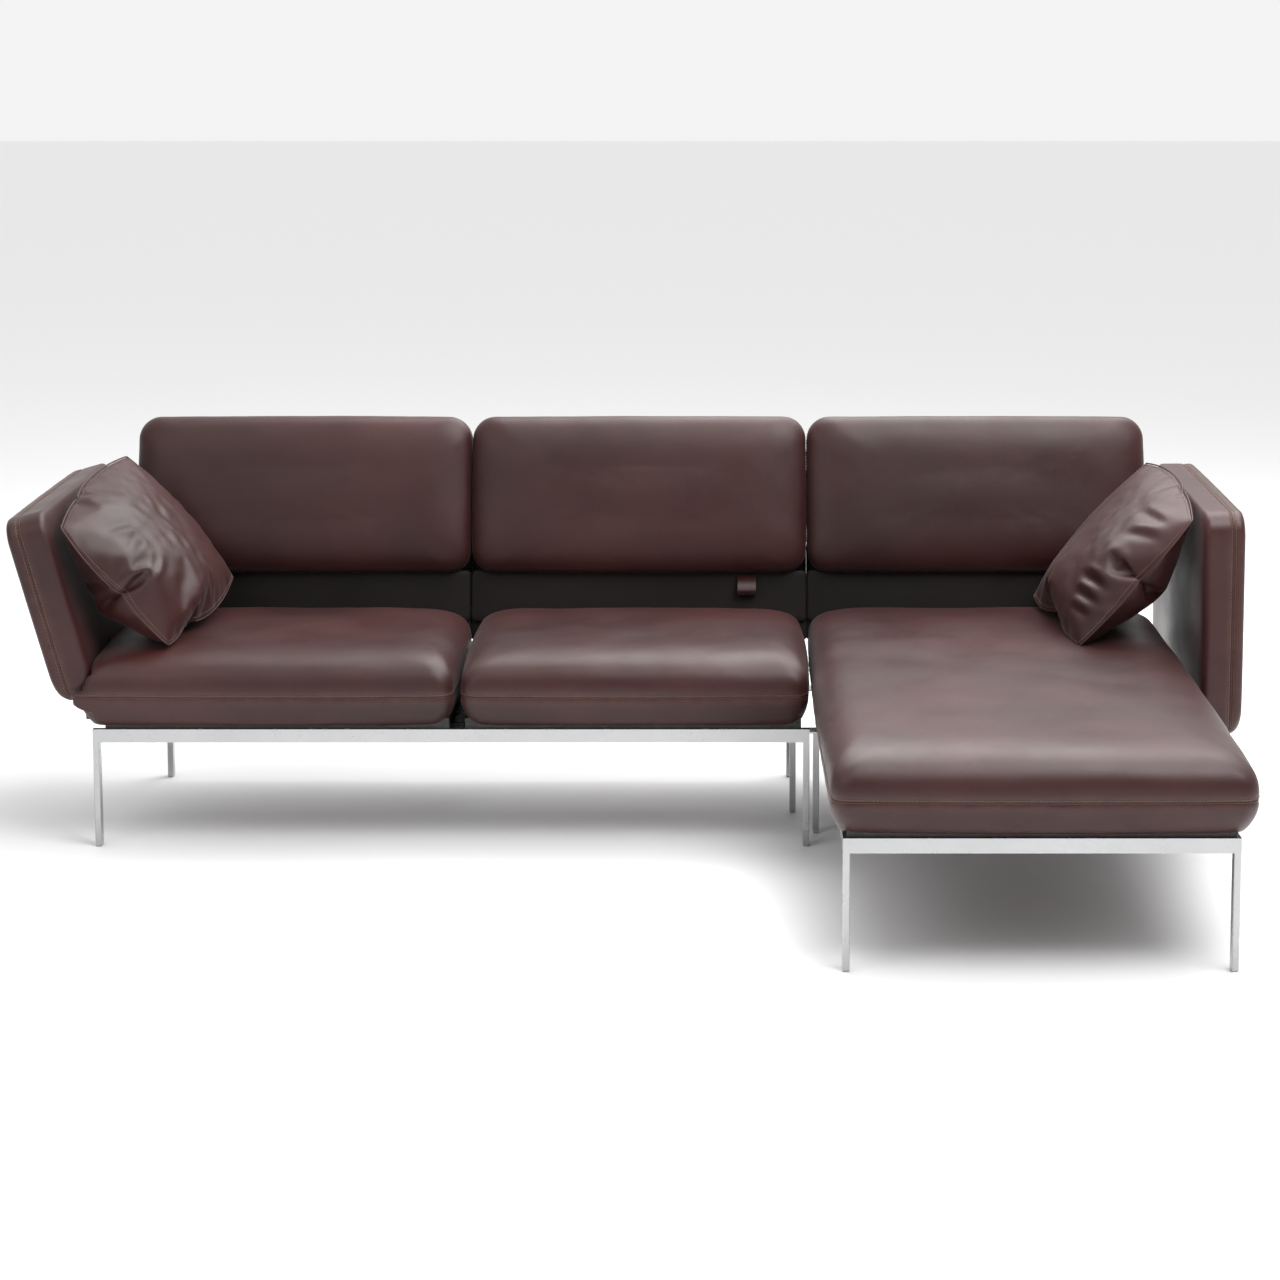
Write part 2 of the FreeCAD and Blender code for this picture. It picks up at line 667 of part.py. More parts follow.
CROSS = ("frame_deep - 2 * rail_thick", "rail_high")
cross_rails = [
    box("rail_thick", *CROSS, sofa_x + s.cross_left_inset, inner_y, s.rail_base),
    box(
        "middle_rail_wide",
        *CROSS,
        sofa_x + s.middle_rail_centre - s.middle_rail_wide / 2,
        inner_y,
        s.rail_base,
    ),
    tapped(box("rail_thick", *CROSS, cross_right_x, inner_y, s.rail_base), bolt_x[0]),
    box(
        "chaise_wide - 2 * rail_thick",
        *RAIL,
        chaise_x + s.rail_thick,
        chaise_front + s.chaise_cross_place,
        s.rail_base,
    ),
]
keep("cross_rails", group(*cross_rails))

SIDE = ("frame_deep + chaise_reach - 2 * rail_thick", "rail_high")
side_y = chaise_front + s.rail_thick
side_rails = [
    tapped(box("rail_thick", *SIDE, chaise_x, side_y, s.rail_base), bolt_x[1]),
    box("rail_thick", *SIDE, chaise_right - s.rail_thick, side_y, s.rail_base),
]
keep("chaise_side_rails", group(*side_rails))

# Legs: name, low corner and the height of what stands on the leg.
rear_leg_y = rear_y - s.leg_deep
legs = (
    ("sofa_front_left_leg", sofa_x, front_y, "rail_base"),
    ("sofa_front_right_leg", sofa_right - s.leg_wide, front_y, "rail_base"),
    ("sofa_rear_left_leg", sofa_x + s.cross_left_inset, rear_leg_y, "rail_base"),
    ("sofa_middle_right_leg", cross_right_x, front_y + s.middle_leg_place, "rail_base"),
    ("sofa_rear_right_leg", cross_right_x, rear_leg_y, "rail_base"),
    (
        "coupling_leg",
        sofa_right + (s.module_gap - s.leg_wide) / 2,
        front_y + s.coupling_leg_place,
        "rail_base - connector_thick",
    ),
    ("chaise_front_left_leg", chaise_x, chaise_front, "rail_base"),
    ("chaise_front_right_leg", chaise_right - s.leg_wide, chaise_front, "rail_base"),
    (
        "chaise_middle_right_leg",
        chaise_right - s.leg_wide,
        front_y + s.chaise_middle_leg_place,
        "rail_base",
    ),
    ("chaise_rear_right_leg", chaise_right - s.leg_wide, rear_leg_y, "rail_base"),
)
glides = []
for name, x, y, top in legs:
    blank = box("leg_wide", "leg_deep", top + " - glide_high", x, y, s.glide_high)
    doc.recompute()
    upright = [
        number
        for number, edge in enumerate(blank.Shape.Edges, start=1)
        if edge.BoundBox.ZLength > s.glide_high
    ]
    chamfered = doc.addObject("Part::Chamfer", "leg")
    chamfered.Base = blank
    chamfered.Edges = [(number, s.leg_edge, s.leg_edge) for number in upright]
    socket = box(
        "leg_wide - 2 * socket_wall",
        "leg_deep - 2 * socket_wall",
        "spigot_long + glide_high",
        x + s.socket_wall,
        y + s.socket_wall,
        0,
    )
    keep(name, cut(chamfered, [socket]))
    sole = box(
        "leg_wide - 2 * glide_margin",
        "leg_deep - 2 * glide_margin",
        "glide_high",
        x + s.glide_margin,
        y + s.glide_margin,
        0,
    )
    inset = s.socket_wall + s.spigot_play
    spigot = box(
        "leg_wide - 2 * (socket_wall + spigot_play)",
        "leg_deep - 2 * (socket_wall + spigot_play)",
        "spigot_long",
        x + inset,
        y + inset,
        s.glide_high - s.spigot_play,
    )
    glides.append(join(sole, spigot))
keep("leg_glides", group(*glides))

# Seats: timber frame on the rails, webbing, foam and leather cover.
TUCK = ((0.0, 1.0), (0.35, 0.42), (0.7, 0.1), (1.0, 0.0))
SHOULDER = ((0.25, 0.012), (0.5, 0.055), (0.73, 0.15), (0.89, 0.37), (0.965, 0.65), (1.0, 1.0))


def seat_layers(left, right, front, rear):
    """Levels of a seat cushion: tucked underside, seam, shoulder and crown."""
    base = rail_top + s.reveal
    layers = []
    for rise, share in TUCK:
        layers.append(
            (
                base + rise * (seam_z - base),
                left + share * s.side_tuck,
                right - share * s.side_tuck,
                front + share * s.front_tuck,
                rear - share * s.side_tuck / 2,
                s.seat_corner,
                s.seat_bow,
            )
        )
    for rise, share in SHOULDER:
        layers.append(
            (
                seam_z + rise * s.crown_rise,
                left + share * s.crown_inset,
                right - share * s.crown_inset,
                front + share * s.crown_inset,
                rear - share * s.crown_inset * 0.55,
                s.seat_corner + share * s.seat_corner,
                s.seat_bow,
            )
        )
    return layers


def seat_frame(wide, deep, x, y):
    """Four timbers round an open middle, as one frame."""
    outer = box(wide, deep, "seat_frame_high", x, y, rail_top)
    inner = box(
        f"{wide} - 2 * seat_frame_wide",
        f"{deep} - 2 * seat_frame_wide",
        "seat_frame_high",
        x + s.seat_frame_wide,
        y + s.seat_frame_wide,
        rail_top,
    )
    return cut(outer, [inner])


def webbing(x0, x1, y0, y1):
    """Straps from front to rear across a seat frame, evenly spaced."""
    count = int((x1 - x0 - s.webbing_wide) // s.webbing_pitch)
    first = (x0 + x1) / 2 - (count - 1) * s.webbing_pitch / 2 - s.webbing_wide / 2
    return [
        fixed(
            Part.makeBox(
                s.webbing_wide,
                y1 - y0,
                s.webbing_thick,
                Vector(first + i * s.webbing_pitch, y0, seat_frame_top),
            )
        )
        for i in range(count)
    ]


split_x = sofa_x + s.seat_split
seat_front = front_y - s.seat_overhang
frame_front = front_y + s.seat_frame_setback
frame_rear = seat_rear - s.side_tuck - s.seat_frame_rear_gap
left_inner = left_pivot.x + arm_half + s.foam_to_arm
under_arm = sofa_x - s.seat_left_over
chaise_cushion_front = chaise_front - s.seat_overhang

# Room for the left arm's round foot and leaning face, and the mitre in front.
arm_start = front_y + s.arm_front - s.arm_clear
room_half = arm_half + s.arm_clear
arm_room = Part.makeCylinder(
    room_half, arm_long, Vector(left_pivot.x, arm_start, left_pivot.z), Vector(0, 1, 0)
)
lean_room = block(-room_half * 3, room_half, arm_start, arm_start + arm_long, 0, room_half * 5)
lean_room.Placement = Placement(
    Vector(left_pivot.x, 0, left_pivot.z), Rotation(Vector(0, 1, 0), -s.arm_left_lean)
)
mitre_room = block(-arm_long, 0, seat_front - arm_half, arm_start, 0, arm_long)
mitre_room.Placement = Placement(
    Vector(left_pivot.x, 0, seam_z), Rotation(Vector(0, 1, 0), s.mitre_lean)
)

seats = (
    (
        "seat_left",
        (under_arm, split_x - s.seat_gap / 2, seat_front),
        (sofa_x + s.seat_frame_end, split_x - s.seat_frame_rail_lap - s.seat_frame_gap),
        [arm_room, lean_room, mitre_room],
    ),
    (
        "seat_middle",
        (split_x + s.seat_gap / 2, sofa_right + s.seat_right_over, seat_front),
        (split_x + s.seat_frame_rail_lap, sofa_right - s.seat_frame_right),
        [],
    ),
    (
        "chaise",
        (chaise_x - s.chaise_left_over, chaise_right + s.chaise_right_over, chaise_cushion_front),
        (chaise_x + s.chaise_frame_inset, chaise_right - s.chaise_frame_inset),
        [],
    ),
)
seat_straps = []
for name, (left, right, front), (x0, x1), rooms in seats:
    y0 = frame_front if front == seat_front else chaise_front + s.seat_frame_setback
    timber = seat_frame(f"{x1 - x0}", f"{frame_rear - y0}", x0, y0)
    keep(f"{name}_timber_frame", timber)
    straps = webbing(x0 + s.seat_frame_wide, x1 - s.seat_frame_wide, y0, frame_rear)
    if name == "chaise":
        keep("chaise_webbing", group(*straps))
    else:
        seat_straps += straps
    pocket = block(
        x0 - s.fit, x1 + s.fit, y0 - s.fit, frame_rear + s.fit, rail_top, foam_base + s.fit
    )
    form = loft(seat_layers(left, right, front, seat_rear))
    core = (
        max(left, left_inner) + s.edge_wadding,
        right - s.edge_wadding,
        front + s.edge_wadding,
        seat_rear - s.edge_wadding / 2,
        foam_base + s.fit / 2,
        crown_z - s.wadding,
    )
    cover, foam = upholstered(form, core, [pocket, *rooms])
    keep(f"{name}_cover", fixed(cover))
    keep(f"{name}_foam", fixed(foam))
keep("seat_webbing", group(*seat_straps))

# Upright pads: levels run through the thickness, from rear or outer face.


def back_layers(wide):
    """Levels of a back cushion from its flat rear to its crowned front."""
    half = wide / 2
    thick = s.back_front + s.back_rear
    levels = (
        (0.0, 20, 0),
        (0.06, 7, 0),
        (0.16, 0, 0),
        (0.5, 0, 0.0),
        (0.7, 7, 0.2),
        (0.84, 24, 0.5),
        (0.93, 58, 0.8),
        (0.98, 105, 1.0),
        (1.0, 150, 1.0),
    )
    return [
        (
            -s.back_rear + share * thick,
            -half + edge,
            half - edge,
            s.back_low + edge * 0.8,
            s.back_top - edge * 0.8,
            s.back_corner - 12 * crown,
            s.back_bow,
        )
        for share, edge, crown in levels
    ]


def arm_layers(high):
    """Levels of an arm, whose foot is half round about its pivot."""
    half = arm_long / 2
    sides = ((0.0, 0), (0.45, 0), (0.76, 1), (0.9, 8), (0.97, 28), (0.995, 80))
    levels = [(-share, edge) for share, edge in reversed(sides)] + list(sides[1:])
    return [
        (
            share * arm_half,
            -half + edge,
            half - edge,
            -arm_half * math.sqrt(1 - share * share),
            high - edge,
            s.arm_corner if edge < 50 else s.arm_corner * 0.8,
            s.arm_bow,
        )
        for share, edge in levels
    ]


def pocket_blocks(offsets, low, y0, y1, top):
    """Room for the board, the hinge arms and the discs that turn."""
    face = s.board_thick / 2
    rooms = [block(-face - s.fit, face + s.fit, y0 - s.fit, y1 + s.fit, low, top + s.fit)]
    for offset in offsets:
        near = offset + s.plate_thick + s.plate_play
        rooms.append(
            block(
                face - 1,
                face + s.hinge_bar_deep + 1,
                near - s.plate_thick - 1,
                near + 1,
                s.slot_high - 4,
                s.hinge_arm_high + 1,
            )
        )
        rooms.append(
            block(
                face - 1,
                face + s.flange_thick + s.fit,
                near - s.flange_wide - 1,
                near + 1,
                s.flange_start - 1,
                s.hinge_arm_high + 1,
            )
        )
    return rooms


def moving_unit(name, pivot, turn, lean, offsets, board, layers, core, rooms, extra=()):
    """Board, hinge arms, foam and cover of a unit that tilts about its pivot."""
    place = Placement(pivot, lean.multiply(turn))
    y0, y1, z1 = board
    face = s.board_thick / 2
    panel = fixed(block(-face, face, y0, y1, s.board_start, z1))
    panel.Placement = place
    keep(f"{name}_board", panel)
    beside = -(s.plate_thick + s.plate_play)
    arms = [copy_of(one_hinge_arm, place.multiply(at_hinge(y, beside))) for y in offsets]
    keep(f"{name}_hinge_arms", group(*arms))
    form = loft(layers)
    form.Placement = Placement(Vector(), STAND)
    cover, foam = upholstered(form, core, rooms)
    pieces = [(f"{name}_cover", cover), (f"{name}_foam", foam), *extra]
    for label, shape in pieces:
        piece = fixed(shape)
        piece.Placement = place.multiply(shape.Placement)
        keep(label, piece)
    return place


def apron(wide, rooms):
    """Dark padded sleeve round the board, between the hinges and the cushion."""
    half = wide / 2 - s.apron_inset
    sleeve = block(
        -s.back_rear + 2, s.apron_front, -half, half, s.apron_start, s.back_low - s.seat_to_apron
    )
    long_edges = [edge for edge in sleeve.Edges if edge.BoundBox.YLength > s.back_low]
    sleeve = sleeve.makeChamfer(s.apron_edge, long_edges)
    return sleeve.cut(rooms)


def pull_loop():
    """Folded leather strap, sewn to the apron's front."""
    x0 = s.apron_front
    x1 = x0 + 2 * s.loop_round
    low = s.loop_start + s.loop_round
    top = low + s.loop_long
    centre_x = x0 + s.loop_round
    edges = [
        Part.LineSegment(Vector(x0, 0, top), Vector(x0, 0, low)),
        Part.Arc(
            Vector(x0, 0, low), Vector(centre_x, 0, low - s.loop_round), Vector(x1, 0, low)
        ),
        Part.LineSegment(Vector(x1, 0, low), Vector(x0 + 2 * s.loop_thick, 0, top)),
        Part.LineSegment(Vector(x0 + 2 * s.loop_thick, 0, top), Vector(x0, 0, top)),
    ]
    solid = Part.Face(Part.Wire([edge.toShape() for edge in edges]))
    solid = solid.extrude(Vector(0, s.loop_wide, 0))
    inner_radius = s.loop_round - s.loop_thick
    hollow = Part.makeCylinder(
        inner_radius, s.loop_wide, Vector(centre_x, 0, low), Vector(0, 1, 0)
    )
    strap = solid.cut(hollow)
    strap.translate(Vector(0, s.loop_place - s.loop_wide / 2, 0))
    return strap


BACK_LEAN = Rotation(Vector(1, 0, 0), -s.back_lean)
for name, pivot, wide in backs:
    offsets = back_hinges(wide)
    reach = wide / 2 - s.board_margin
    board = (-reach, reach, s.back_top - s.board_margin)
    rooms = pocket_blocks(offsets, s.board_start - 2, board[0], board[1], board[2])
    extra = [(f"back_{name}_apron", apron(wide, rooms))]
    if name == "middle":
        extra.append(("pull_loop", pull_loop()))
    end = wide / 2 - s.edge_wadding
    core = (
        -s.back_rear + s.wadding / 2,
        s.back_front - s.wadding,
        -end,
        end,
        s.back_low + s.wadding,
        s.back_top - s.edge_wadding,
    )
    layers = back_layers(wide)
    moving_unit(
        f"back_{name}", pivot, BACK_TURN, BACK_LEAN, offsets, board, layers, core, rooms, extra
    )

LEFT_LEAN = Rotation(Vector(0, 1, 0), -s.arm_left_lean)
for name, pivot, turn, lean, offsets, high in (
    ("left", left_pivot, LEFT_TURN, LEFT_LEAN, left_hinges, s.arm_left_high),
    ("right", right_pivot, RIGHT_TURN, Rotation(), right_hinges, s.arm_right_high),
):
    reach = arm_long / 2 - s.board_margin
    board = (-reach, reach, high - s.board_margin)
    rooms = pocket_blocks(offsets, s.board_start - 2, board[0], board[1], board[2])
    for y in offsets:
        rooms.append(
            block(
                -arm_half * 2,
                arm_half * 2,
                y - s.hinge_slot / 2,
                y + s.hinge_slot / 2,
                -arm_half * 2,
                s.slot_high,
            )
        )
    end = arm_long / 2 - s.edge_wadding
    side = arm_half - s.wadding / 2
    core = (-side, side, -end, end, s.slot_high + s.wadding, high - s.edge_wadding)
    moving_unit(f"arm_{name}", pivot, turn, lean, offsets, board, arm_layers(high), core, rooms)

# Pillows: centre, long way and facing way of each, as they lie.


def pillow_layers():
    """Levels of a pillow from one face to the other, fullest in the middle."""
    half_long, half_high = s.pillow_long / 2, s.pillow_high / 2
    swell = ((-1.0, 120), (-0.94, 84), (-0.8, 50), (-0.52, 20), (-0.2, 4))
    levels = [*swell, (0.0, 0), *[(-share, edge) for share, edge in reversed(swell)]]
    return [
        (
            share * s.pillow_thick / 2,
            -half_long + edge,
            half_long - edge,
            -half_high + edge,
            half_high - edge,
            s.pillow_corner + edge * 0.25,
            -s.pillow_pull,
        )
        for share, edge in levels
    ]


def facing(centre, along, out):
    """Placement with x along, and z out of the pillow's face."""
    x_way = Vector(*along).normalize()
    z_way = Vector(*out)
    z_way = (z_way - x_way * z_way.dot(x_way)).normalize()
    y_way = z_way.cross(x_way)
    return Placement(centre, Rotation(x_way, y_way, z_way, "XYZ"))


pillows = (
    (
        "pillow_left",
        Vector(
            left_pivot.x + s.pillow_left_across,
            front_y + s.pillow_left_behind,
            seam_z + s.pillow_left_rise,
        ),
        (0.144, 0.976, 0.171),
        (0.737, -0.215, 0.606),
    ),
    (
        "pillow_right",
        Vector(
            right_pivot.x - s.pillow_right_across,
            front_y + s.pillow_right_behind,
            seam_z + s.pillow_right_rise,
        ),
        (-0.11, 0.98, 0.1),
        (-0.72, -0.25, 0.6),
    ),
)
for name, centre, along, out in pillows:
    cushion = fixed(loft(pillow_layers()))
    cushion.Placement = facing(centre, along, out)
    keep(name, cushion)

doc.recompute()
for thing in doc.Objects:
    if "Invalid" in thing.State or "Error" in thing.State:
        raise RuntimeError(f"{thing.Name} {thing.Label} failed: {thing.State}")
for name, thing in nodes.items():
    if thing.Shape.isNull() or not thing.Shape.isValid() or not thing.Shape.Solids:
        raise RuntimeError(f"{name} has no valid solid")

os.makedirs("parts", exist_ok=True)
for name, thing in nodes.items():
    thing.Shape.exportStep(f"parts/{name}.step")
print(len(nodes), "nodes")
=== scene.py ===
import json
import math

import bpy
import numpy as np
from mathutils import Matrix, Vector, noise


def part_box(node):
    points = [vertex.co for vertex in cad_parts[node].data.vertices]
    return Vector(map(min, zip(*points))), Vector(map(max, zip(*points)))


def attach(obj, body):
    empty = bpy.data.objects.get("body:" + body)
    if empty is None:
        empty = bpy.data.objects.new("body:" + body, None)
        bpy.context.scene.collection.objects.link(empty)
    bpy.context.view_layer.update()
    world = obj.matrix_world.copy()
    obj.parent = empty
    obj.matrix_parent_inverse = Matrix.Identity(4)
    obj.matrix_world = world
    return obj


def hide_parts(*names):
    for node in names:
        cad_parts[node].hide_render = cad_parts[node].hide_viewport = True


# Corner sofa in dark brown leather on slim bright frames. Metres, in the frame
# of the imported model: +X to the chaise, +Y to the backs, +Z up.

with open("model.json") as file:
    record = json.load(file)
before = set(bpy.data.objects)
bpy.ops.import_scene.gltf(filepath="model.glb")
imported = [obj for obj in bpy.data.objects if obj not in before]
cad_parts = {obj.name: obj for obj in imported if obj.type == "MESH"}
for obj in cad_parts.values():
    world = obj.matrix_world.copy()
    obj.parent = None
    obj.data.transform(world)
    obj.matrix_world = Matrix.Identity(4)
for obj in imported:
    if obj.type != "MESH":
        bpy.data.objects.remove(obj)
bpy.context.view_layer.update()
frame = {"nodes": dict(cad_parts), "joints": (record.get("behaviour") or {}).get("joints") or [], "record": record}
nodes = frame["nodes"]
pivots = {
    joint["child"]: Vector(joint["pos_m"])
    for joint in frame["joints"]
    if joint["type"] == "hinge"
}

# Heights and the slopes of the parts that lean at rest.
RAIL_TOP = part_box("sofa_front_rail")[1].z
SEAM_HEIGHT = RAIL_TOP + 0.080
BACK_LEAN = math.radians(14)
ARM_LEAN = math.radians(15.4)

# Points in each corner arc and each side of a cushion's outline.
CORNER_POINTS = 11
SIDE_POINTS = 48


# Materials


def new_material(name, metallic=0.0, roughness=0.5):
    """Node material with its shader, object coordinates and a link helper."""
    material = bpy.data.materials.new(name)
    material.use_nodes = True
    tree = material.node_tree
    shader = tree.nodes["Principled BSDF"]
    shader.inputs["Metallic"].default_value = metallic
    shader.inputs["Roughness"].default_value = roughness
    place = tree.nodes.new("ShaderNodeTexCoord")
    return material, tree, shader, place.outputs["Object"]


def noise_node(tree, place, scale, detail=4.0, stretch=(1, 1, 1)):
    """Noise over the object's coordinates; a larger scale makes it finer."""
    mapping = tree.nodes.new("ShaderNodeMapping")
    mapping.inputs["Scale"].default_value = stretch
    tree.links.new(place, mapping.inputs["Vector"])
    texture = tree.nodes.new("ShaderNodeTexNoise")
    texture.inputs["Scale"].default_value = scale
    texture.inputs["Detail"].default_value = detail
    tree.links.new(mapping.outputs["Vector"], texture.inputs["Vector"])
    return texture.outputs["Fac"]


def ramp_node(tree, value, stops):
    """Colour ramp: stops are positions with colours or greys."""
    ramp = tree.nodes.new("ShaderNodeValToRGB")
    points = ramp.color_ramp.elements
    while len(points) < len(stops):
        points.new(0.5)
    for point, (position, colour) in zip(points, stops):
        point.position = position
        shade = (colour,) * 3 if isinstance(colour, float) else colour
        point.color = (*shade, 1)
    tree.links.new(value, ramp.inputs["Fac"])
    return ramp.outputs["Color"]


def mix_node(tree, share, first, second, blend="MIX"):
    """Colour mix; share is a number or a socket."""
    mix = tree.nodes.new("ShaderNodeMix")
    mix.data_type = "RGBA"
    mix.blend_type = blend
    sockets = (mix.inputs[0], mix.inputs[6], mix.inputs[7])
    for socket, value in zip(sockets, (share, first, second)):
        if isinstance(value, bpy.types.NodeSocket):
            tree.links.new(value, socket)
        else:
            socket.default_value = value
    return mix.outputs[2]


def sum_node(tree, first, second, factor):
    """first plus factor times second."""
    adder = tree.nodes.new("ShaderNodeMath")
    adder.operation = "MULTIPLY_ADD"
    tree.links.new(second, adder.inputs[0])
    adder.inputs[1].default_value = factor
    tree.links.new(first, adder.inputs[2])
    return adder.outputs[0]


def bump_node(tree, shader, height, strength, distance):
    """Fine relief from a height, fed to the shader's normal."""
    bump = tree.nodes.new("ShaderNodeBump")
    bump.inputs["Strength"].default_value = strength
    bump.inputs["Distance"].default_value = distance
    tree.links.new(height, bump.inputs["Height"])
    tree.links.new(bump.outputs["Normal"], shader.inputs["Normal"])


def cell_node(tree, place, scale):
    """Distance to the edge of small cells, for leather grain."""
    cells = tree.nodes.new("ShaderNodeTexVoronoi")
    cells.feature = "DISTANCE_TO_EDGE"
    cells.inputs["Scale"].default_value = scale
    tree.links.new(place, cells.inputs["Vector"])
    return cells.outputs["Distance"]


# Features of the leather, as scales of their textures.
DYE_CLOUDS = 2.6
DYE_SPECKS = 95.0
WORN_PATCHES = 34.0
GLOSS_PATCHES = 7.0
GRAIN_CELLS = 520.0
CREASES = 42.0


def leather(name, deep, mid, worn, roughness=0.40, shine=0.42):
    """Aniline leather: mottled dye, pebbled grain, pores and paler worn edges."""
    material, tree, shader, place = new_material(name, roughness=roughness)
    cloud = noise_node(tree, place, DYE_CLOUDS, 6.0)
    dye = ramp_node(tree, cloud, [(0.30, deep), (0.70, mid)])
    speck = noise_node(tree, place, DYE_SPECKS, 5.0)
    speck = ramp_node(tree, speck, [(0.35, 0.86), (0.68, 1.0)])
    dye = mix_node(tree, 0.6, dye, speck, "MULTIPLY")
    wear = tree.nodes.new("ShaderNodeAttribute")
    wear.attribute_name = "wear"
    patch = noise_node(tree, place, WORN_PATCHES, 4.0)
    patch = ramp_node(tree, patch, [(0.30, 0.25), (0.72, 1.0)])
    edge = mix_node(tree, 1.0, wear.outputs["Color"], patch, "MULTIPLY")
    dye = mix_node(tree, edge, dye, (*worn, 1))
    tree.links.new(dye, shader.inputs["Base Color"])
    gloss = noise_node(tree, place, GLOSS_PATCHES, 5.0)
    gloss = ramp_node(tree, gloss, [(0.30, roughness - 0.05), (0.72, roughness + 0.09)])
    tree.links.new(gloss, shader.inputs["Roughness"])
    shader.inputs["Specular IOR Level"].default_value = shine
    shader.inputs["Sheen Weight"].default_value = 0.06
    shader.inputs["Sheen Roughness"].default_value = 0.4
    grain = ramp_node(tree, cell_node(tree, place, GRAIN_CELLS), [(0.0, 0.0), (0.16, 1.0)])
    crease = noise_node(tree, place, CREASES, 6.0)
    height = sum_node(tree, crease, grain, 0.22)
    bump_node(tree, shader, height, 0.32, 0.0011)
    return material


def bright_metal(name, colour, roughness, streak):
    """Bright bar stock with fine drawn lines and slight handling marks."""
    material, tree, shader, place = new_material(name, 1.0, roughness)
    lines = noise_node(tree, place, 30.0, 1.0, streak)
    marks = noise_node(tree, place, 5.0, 5.0)
    dark = [0.93 * part for part in colour]
    tint = ramp_node(tree, marks, [(0.35, tuple(dark)), (0.65, colour)])
    tree.links.new(tint, shader.inputs["Base Color"])
    gloss = ramp_node(tree, lines, [(0.3, roughness - 0.01), (0.7, roughness + 0.02)])
    tree.links.new(gloss, shader.inputs["Roughness"])
    bump_node(tree, shader, lines, 0.008, 0.0002)
    return material


def painted(name, colour, roughness, metallic=0.0):
    """Smooth coat with a fine orange-peel texture."""
    material, tree, shader, place = new_material(name, metallic, roughness)
    light = tuple(min(1.0, 1.25 * part) for part in colour)
    tint = ramp_node(tree, noise_node(tree, place, 18.0, 5.0), [(0.35, colour), (0.7, light)])
    tree.links.new(tint, shader.inputs["Base Color"])
    bump_node(tree, shader, noise_node(tree, place, 650.0, 2.0), 0.12, 0.0003)
    return material


def wood(name, dark, light, stretch):
    """Straight-grained wood with growth rings and pores."""
    material, tree, shader, place = new_material(name, roughness=0.6)
    rings = tree.nodes.new("ShaderNodeTexWave")
    rings.inputs["Scale"].default_value = 22.0
    rings.inputs["Distortion"].default_value = 5.0
    rings.inputs["Detail"].default_value = 3.0
    rings.bands_direction = "Z"
    tree.links.new(place, rings.inputs["Vector"])
    pores = noise_node(tree, place, 30.0, 6.0, stretch)
    figure = sum_node(tree, pores, rings.outputs["Fac"], 0.35)
    tint = ramp_node(tree, figure, [(0.35, dark), (0.95, light)])
    tree.links.new(tint, shader.inputs["Base Color"])
    bump_node(tree, shader, pores, 0.2, 0.0004)
    return material


def woven(name, colour, fineness):
    """Cloth or elastic tape: two crossed sets of threads."""
    material, tree, shader, place = new_material(name, roughness=0.85)
    sets = []
    for direction in ("X", "Y"):
        wave = tree.nodes.new("ShaderNodeTexWave")
        wave.bands_direction = direction
        wave.inputs["Scale"].default_value = fineness
        tree.links.new(place, wave.inputs["Vector"])
        sets.append(wave.outputs["Fac"])
    weave = sum_node(tree, sets[0], sets[1], 1.0)
    pale = tuple(min(1.0, 1.9 * part + 0.01) for part in colour)
    tint = ramp_node(tree, weave, [(0.4, colour), (1.6, pale)])
    fluff = ramp_node(tree, noise_node(tree, place, 120.0, 4.0), [(0.3, 0.8), (0.7, 1.0)])
    tint = mix_node(tree, 0.7, tint, fluff, "MULTIPLY")
    tree.links.new(tint, shader.inputs["Base Color"])
    shader.inputs["Sheen Weight"].default_value = 0.25
    bump_node(tree, shader, weave, 0.35, 0.0006)
    return material


# Colours of each leather: deep dye, mid dye and worn edge. The loop's and the lining's colours are darkened as
# painted shade.
WORN_EDGE = (0.105, 0.045, 0.035)
LEATHER_SHADES = ((0.024, 0.0055, 0.0048), (0.052, 0.0132, 0.0115), WORN_EDGE)
# The pull loop's leather is a darker copy of the sofa's leather: painted shade for the recess under the back where
# it hangs.
LOOP_PAINTED_SHADE = ((0.016, 0.0035, 0.003), (0.034, 0.007, 0.006), WORN_EDGE)
